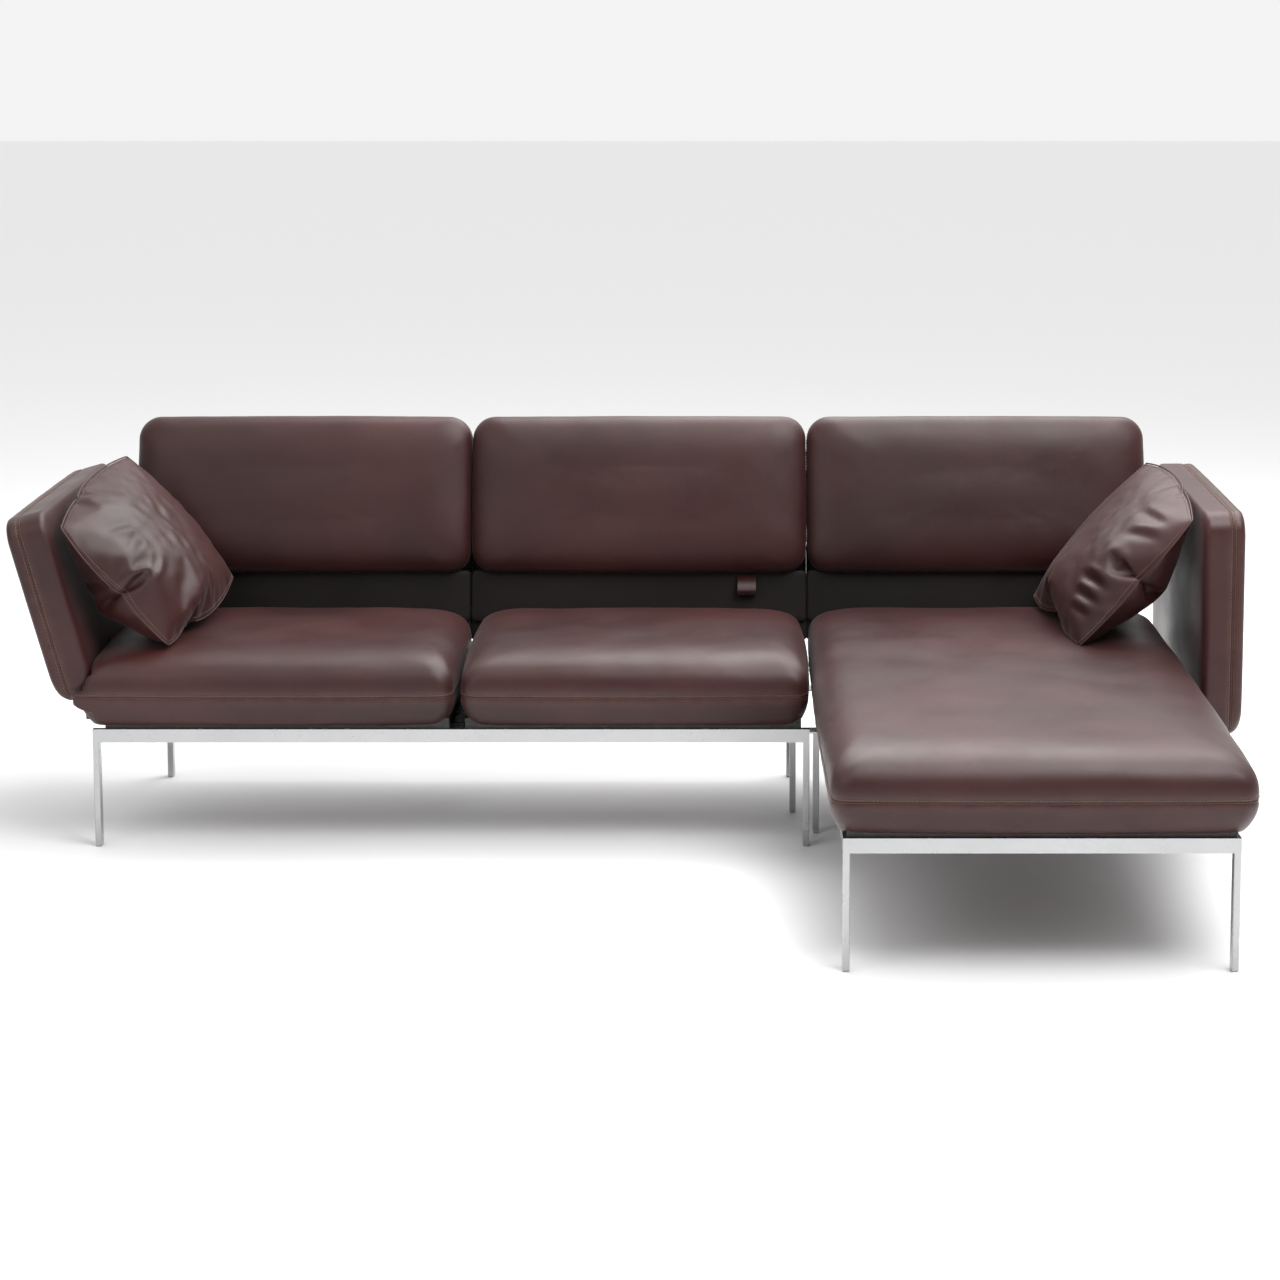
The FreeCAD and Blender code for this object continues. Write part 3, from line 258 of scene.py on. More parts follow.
# The lining's near-black dye is painted shade: it darkens the recess under the backs and the gaps beside them,
# where shade falls.
LINING_PAINTED_SHADE = ((0.004, 0.002, 0.002), (0.009, 0.005, 0.0045), (0.02, 0.01, 0.009))
WELT_SHADES = ((0.036, 0.015, 0.012), (0.070, 0.031, 0.024), (0.12, 0.06, 0.045))
THREAD_COLOUR = (0.085, 0.043, 0.032)
materials = {
    "leather": leather("leather", *LEATHER_SHADES),
    # loop_leather: darker copy of the leather, painted shade.
    "loop_leather": leather("loop_leather", *LOOP_PAINTED_SHADE),
    # dark_lining: near-black lining, painted shade for the recess under the backs.
    "dark_lining": leather("dark_lining", *LINING_PAINTED_SHADE, 0.6, 0.2),
    "foam": painted("foam", (0.74, 0.70, 0.58), 0.9),
    "elastic_webbing": woven("elastic_webbing", (0.03, 0.03, 0.032), 300.0),
    "chrome_bar": bright_metal("chrome_bar", (0.45, 0.453, 0.458), 0.26, (1, 1, 1)),
    "steel_plate": bright_metal("steel_plate", (0.55, 0.56, 0.58), 0.32, (1, 8, 1)),
    "hinge_steel": painted("hinge_steel", (0.035, 0.035, 0.038), 0.42, 0.6),
    "zinc": bright_metal("zinc", (0.60, 0.61, 0.62), 0.30, (8, 1, 1)),
    "glide_plastic": painted("glide_plastic", (0.30, 0.30, 0.30), 0.5),
    "plywood": wood("plywood", (0.20, 0.115, 0.055), (0.46, 0.32, 0.19), (1, 6, 1)),
    # black_timber: black stain of the seat frames. Its near-black colour also paints the shadow in the slit
    # between the rail and the cushions.
    "black_timber": wood("black_timber", (0.008, 0.008, 0.008), (0.03, 0.028, 0.026), (6, 1, 1)),
}
for part in frame["record"]["subparts"]:
    shown = nodes[part["node"]]
    shown.data.materials.clear()
    shown.data.materials.append(materials[part["material_slot"]])

welt_leather = leather("welt_leather", *WELT_SHADES, 0.45)
thread = woven("thread", THREAD_COLOUR, 900.0)


# Meshes


def mesh_object(name, points, faces, material, body, wear=None):
    """Smooth mesh piece that rides on a body."""
    mesh = bpy.data.meshes.new(name)
    mesh.from_pydata(np.asarray(points).tolist(), [], faces)
    mesh.update()
    mesh.polygons.foreach_set("use_smooth", [True] * len(mesh.polygons))
    mesh.materials.append(material)
    if wear is not None:
        shade = mesh.attributes.new("wear", "FLOAT", "POINT")
        shade.data.foreach_set("value", np.asarray(wear, np.float32))
    piece = bpy.data.objects.new(name, mesh)
    bpy.context.scene.collection.objects.link(piece)
    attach(piece, body)
    return piece


def moved(points, matrix):
    """Points carried by a 4 by 4 matrix."""
    grid = np.array(matrix)
    return np.asarray(points) @ grid[:3, :3].T + grid[:3, 3]


def rounded(a0, a1, b0, b1, radius, bow):
    """Outline, anticlockwise: four arcs, each followed by a bowed side."""
    out = max(bow, 0)
    low_a, high_a = a0 + out + radius, a1 - out - radius
    low_b, high_b = b0 + out + radius, b1 - out - radius
    corners = ((high_a, low_b, -90), (high_a, high_b, 0), (low_a, high_b, 90), (low_a, low_b, 180))
    along = np.linspace(0, 1, SIDE_POINTS + 2)[1:-1, None]
    points = []
    for index, (a, b, start) in enumerate(corners):
        turn = np.radians(start + np.linspace(0, 90, CORNER_POINTS))
        points.append(np.array([a, b]) + radius * np.column_stack([np.cos(turn), np.sin(turn)]))
        way = np.array([math.cos(turn[-1]), math.sin(turn[-1])])
        next_corner = np.array(corners[(index + 1) % 4][:2])
        straight = (1 - along) * np.array([a, b]) + along * next_corner + radius * way
        points.append(straight + 4 * bow * along * (1 - along) * way)
    return np.vstack(points)


def outward(ring):
    """Unit normals of an outline in its own plane, pointing out."""
    along = np.roll(ring, -1, 0) - np.roll(ring, 1, 0)
    normal = np.column_stack([along[:, 1], -along[:, 0]])
    return normal / np.maximum(np.linalg.norm(normal, axis=1), 1e-9)[:, None]


def rumple(points, scale, seed):
    """Smooth noise at each point, about -1 to 1, with a scale for each axis."""
    shift = Vector((seed * 3.7, seed * 1.9, seed * 5.3))
    size = np.broadcast_to(np.asarray(scale, float), (3,))
    return np.array([noise.noise(Vector(point * size) + shift) for point in points])


# Noise scales of the soft surfaces, and how far a seam is felt beside it.
PLEAT_SCALE = (52, 52, 9)
SWELL_SCALE = 5.5
DENT_SCALE = 17
GATHER_REACH = 0.030
PINCH_DEPTH = 0.0030
PINCH_REACH = 0.0050
WAVE_FROM = 0.09


def levels_to_points(levels, seed, gather, wave):
    """Rings of a cushion. Each level holds an outline, a height and its distance
    from the seam; the leather gathers at the seam and waves further off."""
    rings = []
    for outline_points, level, distance in levels:
        ring = np.column_stack([outline_points, np.full(len(outline_points), level)])
        away = outward(outline_points)
        near = math.exp(-((distance / GATHER_REACH) ** 2))
        pleat = rumple(ring, PLEAT_SCALE, seed) * gather * (0.25 + near)
        pinch = -PINCH_DEPTH * math.exp(-((distance / PINCH_REACH) ** 2))
        far = min(1.0, abs(distance) / WAVE_FROM)
        soft = rumple(ring, SWELL_SCALE, seed + 3) * wave * (0.35 + 0.65 * far)
        soft += rumple(ring, DENT_SCALE, seed + 5) * wave * 0.22 * far
        ring[:, :2] += away * (pleat + pinch + soft * 0.5)[:, None]
        ring[:, 2] += soft * far
        rings.append(ring)
    return rings


def closing(ring, steps, rise, seed, wave):
    """Rings from a level's outline to its middle, which stands up by rise."""
    middle = ring.mean(0)
    reach = np.abs(ring[:, :2] - middle[:2]).max(0)
    rings = []
    for step in range(1, steps + 1):
        share = 1 - step / (steps + 0.6)
        inner = middle + (ring - middle) * share
        place = (inner[:, :2] - middle[:2]) / reach
        dome = np.maximum((1 - place[:, 0] ** 2) * (1 - place[:, 1] ** 2), 0) ** 2
        inner[:, 2] = middle[2] + rise * dome
        inner[:, 2] += (ring[:, 2] - middle[2]) * share**2
        inner[:, 2] += rumple(inner, SWELL_SCALE, seed + 3) * wave * np.minimum(1, 6 * dome)
        rings.append(inner)
    return rings


def skin(rings):
    """Faces over rings of equal length, with a fan at either end."""
    count = len(rings[0])
    points = np.vstack([*rings, rings[0].mean(0), rings[-1].mean(0)])
    faces = []
    for level in range(len(rings) - 1):
        base = level * count
        for i in range(count):
            j = (i + 1) % count
            faces.append((base + i, base + j, base + count + j, base + count + i))
    last = (len(rings) - 1) * count
    low, high = len(points) - 2, len(points) - 1
    for i in range(count):
        j = (i + 1) % count
        faces.append((j, i, low))
        faces.append((last + i, last + j, high))
    return points, faces


def run_along(path, step, closed):
    """Even points on a path with their forward, outward and cross directions."""
    if closed:
        path = np.vstack([path, path[:1]])
    run = np.concatenate([[0], np.cumsum(np.linalg.norm(np.diff(path, axis=0), axis=1))])
    count = max(3, int(run[-1] / step))
    places = np.linspace(0, run[-1], count + 1)[: count + (not closed)]
    line = np.column_stack([np.interp(places, run, path[:, axis]) for axis in range(3)])
    if closed:
        along = np.roll(line, -1, 0) - np.roll(line, 1, 0)
    else:
        along = np.gradient(line, axis=0)
    along /= np.linalg.norm(along, axis=1)[:, None]
    side = line - line.mean(0)
    side -= along * (side * along).sum(1)[:, None]
    side /= np.linalg.norm(side, axis=1)[:, None]
    return line, along, side, np.cross(along, side)


# The tube of a raised seam: the spacing of its rings and its sides.
WELT_STEP = 0.006
WELT_SIDES = 8


def welt(name, path, radius, body, closed=True):
    """Raised seam: a small tube sunk into the leather along a path."""
    line, _, side, up = run_along(path, WELT_STEP, closed)
    rings = []
    for turn in np.linspace(0, 2 * math.pi, WELT_SIDES, endpoint=False):
        rings.append(line + side * radius * math.cos(turn) + up * radius * math.sin(turn))
    count, around = len(line), len(rings)
    points = np.vstack(rings)
    faces = []
    for k in range(around):
        m = (k + 1) % around
        for i in range(count if closed else count - 1):
            j = (i + 1) % count
            faces.append((k * count + i, m * count + i, m * count + j, k * count + j))
    if not closed:
        faces.append(tuple(k * count for k in range(around)))
        faces.append(tuple(k * count + count - 1 for k in reversed(range(around))))
    return mesh_object(name, points, faces, welt_leather, body)


# A stitch: shares of its length with shares of its thread's radius.
STITCH = ((-0.5, 0.35), (-0.32, 1.0), (0.32, 1.0), (0.5, 0.35))
STITCH_PITCH = 0.0075
STITCH_LENGTH = 0.0048
STITCH_LIFT = 0.0006
THREAD_RADIUS = 0.00075
THREAD_SIDES = 6


def stitches(name, path, body, closed=True):
    """Row of short thread stitches lying on the leather along a path."""
    points, faces = [], []
    for place, forward, out, tall in zip(*run_along(path, STITCH_PITCH, closed)):
        base = len(points)
        for share, thick in STITCH:
            reach = THREAD_RADIUS * thick
            for k in range(THREAD_SIDES):
                turn = 2 * math.pi * k / THREAD_SIDES
                offset = out * (math.cos(turn) * reach + STITCH_LIFT)
                offset = offset + tall * math.sin(turn) * reach
                points.append(place + forward * share * STITCH_LENGTH + offset)
        for ring in range(len(STITCH) - 1):
            low = base + ring * THREAD_SIDES
            high = low + THREAD_SIDES
            for k in range(THREAD_SIDES):
                m = (k + 1) % THREAD_SIDES
                faces.append((low + k, low + m, high + m, high + k))
        last = base + (len(STITCH) - 1) * THREAD_SIDES
        faces.append(tuple(base + k for k in reversed(range(THREAD_SIDES))))
        faces.append(tuple(last + k for k in range(THREAD_SIDES)))
    return mesh_object(name, points, faces, thread, body)


SEAM_WEAR = 0.55
WEAR_REACH = 0.011


def wear_of(rings, distances):
    """Wear at each point: strongest at the seam, none on the flat faces."""
    shade = []
    for ring, distance in zip(rings, distances):
        worn = SEAM_WEAR * math.exp(-((distance / WEAR_REACH) ** 2))
        shade.append(np.full(len(ring), worn))
    return np.concatenate([*shade, [0.0, 0.0]])


# Seats

TUCK_STEPS = 12
SHOULDER_STEPS = 24
CROWN_INSET = 0.170
SEAT_EASE = 0.004
SIDE_TUCK = 0.020
FRONT_TUCK = 0.044
SEAT_BULGE = 0.0010
SEAT_CORNER = 0.040
SEAT_BOW = 0.006
SEAT_WELT = 0.0019
UNDER_STEPS = 3
CROWN_STEPS = 13
SEAT_GATHER = 0.0013
SEAT_WAVE = 0.0030
SEAT_CROWN_WAVE = 0.0022


def seat_levels(node, press):
    """Outlines of a seat cushion from its underside to its crown. Its left and
    right sides are steeper by the shares in press, where a neighbour presses."""
    low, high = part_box(node)
    crown = high.z - SEAM_HEIGHT
    levels = []

    def add(level, tuck, inset, distance):
        outline_points = rounded(
            low.x - SEAT_BULGE + tuck * SIDE_TUCK + inset * press[0],
            high.x + SEAT_BULGE - tuck * SIDE_TUCK - inset * press[1],
            low.y + tuck * FRONT_TUCK + inset,
            high.y - tuck * SIDE_TUCK / 2 - inset * 0.55,
            SEAT_CORNER + inset * 0.25,
            SEAT_BOW,
        )
        levels.append((outline_points, level, distance))

    for inset in (0.020, 0.010, 0.004):
        add(low.z + SEAT_EASE - inset * 0.2, 1.0, inset, low.z - SEAM_HEIGHT - inset)
    for share in np.linspace(0.03, 0.94, TUCK_STEPS):
        level = low.z + share * (SEAM_HEIGHT - low.z)
        add(level, (1 - share) ** 2, 0.0, level - SEAM_HEIGHT)
    for distance in (-0.0022, 0.0, 0.0022, 0.0055):
        add(SEAM_HEIGHT + distance, 0.0, 0.0, distance)
    for turn in np.radians(np.linspace(4, 90, SHOULDER_STEPS)):
        inset = CROWN_INSET * (1 - math.cos(turn) ** (2 / 3))
        level = SEAM_HEIGHT + (crown - SEAT_EASE) * math.sin(turn) ** (2 / 3)
        add(level, 0.0, inset, level - SEAM_HEIGHT + inset)
    return levels


def seat(name, seed, press, shape=None):
    """Seat cushion with its seam, stitching and replaced solids."""
    levels = seat_levels(f"{name}_cover", press)
    distances = [distance for outline_points, level, distance in levels]
    rings = levels_to_points(levels, seed, SEAT_GATHER, SEAT_WAVE)
    under = closing(rings[0], UNDER_STEPS, 0.0, seed, 0.0)[::-1]
    over = closing(rings[-1], CROWN_STEPS, SEAT_EASE, seed, SEAT_CROWN_WAVE)
    rings = [*under, *rings, *over]
    distances = [-1.0] * UNDER_STEPS + distances + [1.0] * CROWN_STEPS
    if shape:
        rings = [shape(ring) for ring in rings]
    points, faces = skin(rings)
    wear = wear_of(rings, distances)
    cushion = mesh_object(
        f"{name}_cushion", points, faces, materials["leather"], "root", wear=wear
    )
    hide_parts(f"{name}_cover", f"{name}_foam")
    seam = distances.index(0.0)
    welt(f"{name}_seam", rings[seam], SEAT_WELT, "root")
    stitches(f"{name}_stitching", rings[seam + 2], "root")


arm_pivot = pivots["arm_left"]
arm_low, arm_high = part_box("arm_left_cover")
ARM_HALF = 0.048
ARM_ROOM = ARM_HALF + 0.0045
ARM_END_ROOM = 0.010
MITRE_LEAN = math.radians(41)

# The first seat's corner in front of the arm's foot: how far it reaches out, how
# far from the hinge it may lie, and where it starts and ends along Y and Z.
MITRE_REACH = 0.030
MITRE_SIDE = 0.06
MITRE_STARTS, MITRE_ENDS = (0.028, 0.040), (0.041, 0.047)
MITRE_RISES, MITRE_FALLS = (0.272, 0.335), (0.347, 0.372)


def smooth(values, start, end):
    """0 up to start, 1 from end, and smooth between."""
    share = np.clip((values - start) / (end - start), 0, 1)
    return share * share * (3 - 2 * share)


def beside_arm(ring):
    """Presses the first seat's left side flat against the leaning arm, and cuts
    its corner in front of the arm to a mitre."""
    ring = ring.copy()
    in_reach = ring[:, 1] > arm_low.y - ARM_END_ROOM
    offset = ring - np.array([arm_pivot.x, 0, arm_pivot.z])
    across = offset[:, 0] * math.cos(ARM_LEAN) + offset[:, 2] * math.sin(ARM_LEAN)
    along = -offset[:, 0] * math.sin(ARM_LEAN) + offset[:, 2] * math.cos(ARM_LEAN)
    upper = in_reach & (along > 0) & (across < ARM_ROOM)
    ring[upper, 0] += (ARM_ROOM - across[upper]) / math.cos(ARM_LEAN)
    distance = np.hypot(offset[:, 0], offset[:, 2])
    under = in_reach & (along <= 0) & (distance < ARM_ROOM)
    scale = ARM_ROOM / np.maximum(distance[under], 1e-6)
    ring[under, 0] = arm_pivot.x + offset[under, 0] * scale
    ring[under, 2] = arm_pivot.z + offset[under, 2] * scale
    slope = (ring[:, 0] - arm_pivot.x) * math.cos(MITRE_LEAN)
    slope -= (ring[:, 2] - SEAM_HEIGHT) * math.sin(MITRE_LEAN)
    front = ~in_reach & (slope < 0)
    ring[front, 0] -= slope[front] / math.cos(MITRE_LEAN)
    ahead = smooth(ring[:, 1], *MITRE_STARTS) * (1 - smooth(ring[:, 1], *MITRE_ENDS))
    height = smooth(ring[:, 2], *MITRE_RISES) * (1 - smooth(ring[:, 2], *MITRE_FALLS))
    left = ring[:, 0] < arm_pivot.x + MITRE_SIDE
    ring[:, 0] -= MITRE_REACH * ahead * height * left
    return ring


seat("seat_left", 11, (1.0, 0.75), beside_arm)
seat("seat_middle", 23, (0.75, 0.65))
seat("chaise", 37, (0.65, 1.0))

# Backs and arms stand upright in their own frame: x to the sitter, y along the
# piece and z up, from the pivot. Their outlines lie in y and z.


def upright(ring):
    """Outline plane and level to the frame of an upright piece."""
    return ring[:, [2, 0, 1]]


def stand(name, turn, lean_axis, lean):
    """Matrix from an upright piece's own frame to the row's."""
    tilt = Matrix.Rotation(lean, 4, lean_axis)
    return Matrix.Translation(pivots[name]) @ tilt @ Matrix.Rotation(turn, 4, "Z")


BACK_LOW, BACK_TOP = 0.164, 0.546
BACK_REAR, BACK_FRONT = -0.028, 0.082
BACK_SEAM = -0.012
BACK_TURN_FROM = 0.024
BACK_CROWN = 0.150
BACK_BULGE = 0.0053
BACK_CORNER = 0.055
BACK_BOW = 0.0012
UPRIGHT_EASE = 0.003
REAR_STEPS = 4
UPRIGHT_WELT = 0.0017
UPRIGHT_GATHER = 0.0010
UPRIGHT_WAVE = 0.0024
UPRIGHT_CROWN_WAVE = 0.0016


def back_levels(half):
    """Outlines of a back from its flat rear, over the seam, to its crown."""
    levels = []

    def add(level, edge, distance):
        outline_points = rounded(
            -half - BACK_BULGE + edge,
            half + BACK_BULGE - edge,
            BACK_LOW + edge * 0.8,
            BACK_TOP - edge * 0.8,
            BACK_CORNER - 0.06 * edge,
            BACK_BOW,
        )
        levels.append((outline_points, level, distance))

    for edge in (0.045, 0.020, 0.009, 0.003):
        level = BACK_REAR + UPRIGHT_EASE + UPRIGHT_EASE * (0.02 - edge) / 0.02
        add(level, edge, BACK_REAR - BACK_SEAM - edge)
    for distance in (-0.008, -0.0022, 0.0, 0.0022, 0.007):
        add(BACK_SEAM + distance, 0.0, distance)
    for level in np.linspace(BACK_SEAM + 0.014, BACK_TURN_FROM, 5):
        add(level, 0.0, level - BACK_SEAM)
    deep = BACK_FRONT - BACK_TURN_FROM
    for turn in np.radians(np.linspace(4, 90, SHOULDER_STEPS)):
        edge = BACK_CROWN * (1 - math.cos(turn) ** 0.8)
        level = BACK_TURN_FROM + (deep - UPRIGHT_EASE) * math.sin(turn) ** 0.8
        add(level, edge, level - BACK_SEAM + edge)
    return levels


def upright_cushion(name, body, levels, matrix, seed, steps, replaced, rows, seam_span=None):
    """Upright cushion: its rings in place, its seam and rows of stitching. The
    seam runs all round, or over a span of the outline's points."""
    distances = [distance for outline_points, level, distance in levels]
    rings = levels_to_points(levels, seed, UPRIGHT_GATHER, UPRIGHT_WAVE)
    behind = closing(rings[0], REAR_STEPS, 0.0, seed, 0.0)[::-1]
    ahead = closing(rings[-1], steps, UPRIGHT_EASE, seed, UPRIGHT_CROWN_WAVE)
    rings = [upright(ring) for ring in (*behind, *rings, *ahead)]
    rings = [moved(ring, matrix) for ring in rings]
    distances = [-1.0] * REAR_STEPS + distances + [1.0] * steps
    points, faces = skin(rings)
    wear = wear_of(rings, distances)
    cushion = mesh_object(name, points, faces, materials["leather"], body, wear=wear)
    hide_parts(*replaced)
    seam = distances.index(0.0)
    span = slice(*seam_span) if seam_span else slice(None)
    closed = seam_span is None
    welt(f"{name}_seam", rings[seam][span], UPRIGHT_WELT, body, closed)
    for number, row in enumerate(rows, start=1):
        stitches(f"{name}_stitching_{number}", rings[seam + row][span], body, closed)
    return cushion


# Flaps: near-black sheets that paint shadow into the gaps beside and above the backs.
LINING_EDGE = 0.0015
LINING_CORNER = 0.006
SHADOW_FLAP_WIDE = 0.055
SHADOW_FLAP_HEIGHTS = (0.004, 0.060)
SHADOW_FLAP_DEPTHS = (-0.020, 0.016)
TOP_SHADOW_HEIGHTS = (0.150, 0.236)
TOP_SHADOW_DEPTHS = (-0.0225, -0.0135)


def shadow_flap(name, body, matrix, sides, heights, depths):
    """Flat near-black sheet, painted shadow that closes a see-through gap beside a back."""
    (a0, a1), (b0, b1), (behind, ahead) = sides, heights, depths
    rings = []
    for level, inset in (
        (behind, LINING_EDGE),
        (behind + LINING_EDGE, 0.0),
        (ahead - LINING_EDGE, 0.0),
        (ahead, LINING_EDGE),
    ):
        ring = rounded(a0 + inset, a1 - inset, b0 + inset, b1 - inset, LINING_CORNER, 0.0)
        ring = np.column_stack([ring, np.full(len(ring), level)])
        rings.append(moved(upright(ring), matrix))
    points, faces = skin(rings)
    mesh_object(name, points, faces, materials["dark_lining"], body)


SLEEVE_LOW, SLEEVE_HIGH = 0.045, 0.171
SLEEVE_CORNER = 0.012
SLEEVE_STEPS = 5
SLEEVE_GATHER = 0.0012
SLEEVE_WAVE = 0.0022
SLEEVE_REAR_WAVE, SLEEVE_FRONT_WAVE = 0.0016, 0.0030
SLEEVE_FROM_SEAM = 0.05

# Depths of the sleeve's outlines, from rear to front, with their insets.
SLEEVE_LEVELS = (
    (-0.0255, 0.0040),
    (-0.0240, 0.0014),
    (-0.0200, 0.0002),
    (0.0000, 0.0),
    (0.0150, 0.0002),
    (0.0232, 0.0014),
    (0.0247, 0.0040),
)


def apron(name, body, node, matrix, ends, seed):
    """Sleeve under a back, slack between its ends, in near-black lining that paints the shade of the recess."""
    levels = []
    for level, inset in SLEEVE_LEVELS:
        outline_points = rounded(
            ends[0] + inset,
            ends[1] - inset,
            SLEEVE_LOW + inset,
            SLEEVE_HIGH - inset * 0.3,
            SLEEVE_CORNER,
            0.0,
        )
        levels.append((outline_points, level, SLEEVE_FROM_SEAM))
    rings = levels_to_points(levels, seed, SLEEVE_GATHER, SLEEVE_WAVE)
    behind = closing(rings[0], SLEEVE_STEPS, 0.0, 1, SLEEVE_REAR_WAVE)[::-1]
    ahead = closing(rings[-1], SLEEVE_STEPS, 0.0, 2, SLEEVE_FRONT_WAVE)
    rings = [moved(upright(ring), matrix) for ring in (*behind, *rings, *ahead)]
    points, faces = skin(rings)
    sleeve = mesh_object(name, points, faces, materials["dark_lining"], body)
    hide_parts(node)
    # Near-black sheet above the sleeve: painted shadow in the gap under the back.
    shadow_flap(f"{name}_top", body, matrix, ends, TOP_SHADOW_HEIGHTS, TOP_SHADOW_DEPTHS)


# Each back with the seeds of its cushion and its sleeve.
BACKS = (("left", 51, 16), ("middle", 64, 18), ("right", 77, 17))
BACK_CROWN_STEPS = 12
for side, seed, sleeve_seed in BACKS:
    body = f"back_{side}"
    low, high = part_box(f"{body}_cover")
    half_wide = (high.x - low.x) / 2
    matrix = stand(body, -math.pi / 2, "X", -BACK_LEAN)
    replaced = (f"{body}_cover", f"{body}_foam")
    levels = back_levels(half_wide)
    upright_cushion(
        f"{body}_cushion", body, levels, matrix, seed, BACK_CROWN_STEPS, replaced, (2,)
    )
    apron_low, apron_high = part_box(f"{body}_apron")
    ends = [apron_low.x - pivots[body].x, apron_high.x - pivots[body].x]
    # Flaps between neighbouring backs paint shadow into the gaps between them.
    if side != "left":
        ends[0] = -half_wide - BACK_BULGE
        sides = (ends[0], ends[0] + SHADOW_FLAP_WIDE)
        shadow_flap(f"{body}_left_flap", body, matrix, sides, SHADOW_FLAP_HEIGHTS, SHADOW_FLAP_DEPTHS)
    if side != "right":
        ends[1] = half_wide + BACK_BULGE
        sides = (ends[1] - SHADOW_FLAP_WIDE, ends[1])
        shadow_flap(f"{body}_right_flap", body, matrix, sides, SHADOW_FLAP_HEIGHTS, SHADOW_FLAP_DEPTHS)
    apron(f"{body}_sleeve", body, f"{body}_apron", matrix, ends, sleeve_seed)


# Arms are half round at the foot and rounded at the top corners.

ARM_CORNER = 0.048
ARM_BOW = 0.0015
ARM_CROWN_STEPS = 9

# Shares of an arm's half thickness with the insets of their outlines.
ARM_EDGES = (
    (-0.995, 0.060),
    (-0.985, 0.032),
    (-0.965, 0.018),
    (-0.93, 0.0095),
    (-0.88, 0.0045),
    (-0.80, 0.0012),
)
SEAM_STEPS = (-0.10, -0.05, 0.0, 0.05, 0.10)
SEAM_CLEAR = 0.12


def arm_levels(half_long, tall, seam_share):
    """Outlines of an arm through its thickness, from the outer face inwards."""
    levels = []
    shares = [*ARM_EDGES]
    shares += [(share, 0.0) for share in np.linspace(-0.70, 0.70, 15)]
    shares += [(-share, edge) for share, edge in reversed(ARM_EDGES)]
    shares = [pair for pair in shares if abs(pair[0] - seam_share) > SEAM_CLEAR]
    shares += [(seam_share + step, 0.0) for step in SEAM_STEPS]
    for share, edge in sorted(shares):
        foot = -ARM_HALF * math.sqrt(1 - share**2)
        outline_points = rounded(
            -half_long + edge, half_long - edge, foot, tall - edge, ARM_CORNER, ARM_BOW
        )
        levels.append((outline_points, share * ARM_HALF, (share - seam_share) * ARM_HALF))
    return levels


SLOT_WIDE = 0.020
SLOT_DEEP = 0.24
SLOT_TALL = 0.14
SLOT_CENTRE = -0.038


def cut_slots(cushion, matrix, offsets):
    """Slots through an arm's foot, where the hinges' fixed plates stand."""
    for offset in offsets:
        bpy.ops.mesh.primitive_cube_add(size=1)
        cutter = bpy.context.object
        size = Matrix.Diagonal((SLOT_DEEP, SLOT_WIDE, SLOT_TALL, 1))
        cutter.data.transform(matrix @ Matrix.Translation((0, offset, SLOT_CENTRE)) @ size)
        slot_cut = cushion.modifiers.new("slot", "BOOLEAN")
        slot_cut.object = cutter
        slot_cut.solver = "EXACT"
        bpy.context.view_layer.objects.active = cushion
        bpy.ops.object.modifier_apply(modifier="slot")
        bpy.data.objects.remove(cutter)


# Each arm: turn, axis and lean, height, share of the seam's place, and seed.
ARMS = (
    ("left", 0.0, "Y", -ARM_LEAN, 0.392, -0.30, 95),
    ("right", math.pi, "Y", 0.0, 0.470, -0.38, 118),
)
ARM_HALF_LONG = (arm_high.y - arm_low.y) / 2
HINGE_PLACES = (0.200, 0.500)

# The seam runs from the first lower corner to the last, and not along the foot.
ARM_SEAM_SPAN = (6, 4 * CORNER_POINTS + 3 * SIDE_POINTS - 6)
rail_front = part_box("sofa_front_rail")[0].y
for side, turn, axis, lean, tall, seam_share, seed in ARMS:
    body = f"arm_{side}"
    matrix = stand(body, turn, axis, lean)
    levels = arm_levels(ARM_HALF_LONG, tall, seam_share)
    replaced = (f"{body}_cover", f"{body}_foam")
    arm = upright_cushion(
        f"{body}_cushion",
        body,
        levels,
        matrix,
        seed,
        ARM_CROWN_STEPS,
        replaced,
        (-2, 2),
        ARM_SEAM_SPAN,
    )
    way = 1 if side == "left" else -1
    offsets = [way * (rail_front + place - arm_pivot.y) for place in HINGE_PLACES]
    cut_slots(arm, matrix, offsets)


# Pillows: two leather panels sewn together and blown up as cloth.

PILLOW_HALF = (0.235, 0.185)
PILLOW_DEPTHS = (0.084, 0.100)
PILLOW_BOW = 0.17
PILLOW_CELLS = (54, 42)
PILLOW_FRAMES = 22
PILLOW_START = 0.020
PILLOW_FIT = 0.97
PILLOW_EDGE = 0.012
PILLOW_WELT = 0.0019
PILLOW_WEAR = 0.45
INSIDE = 0.9999


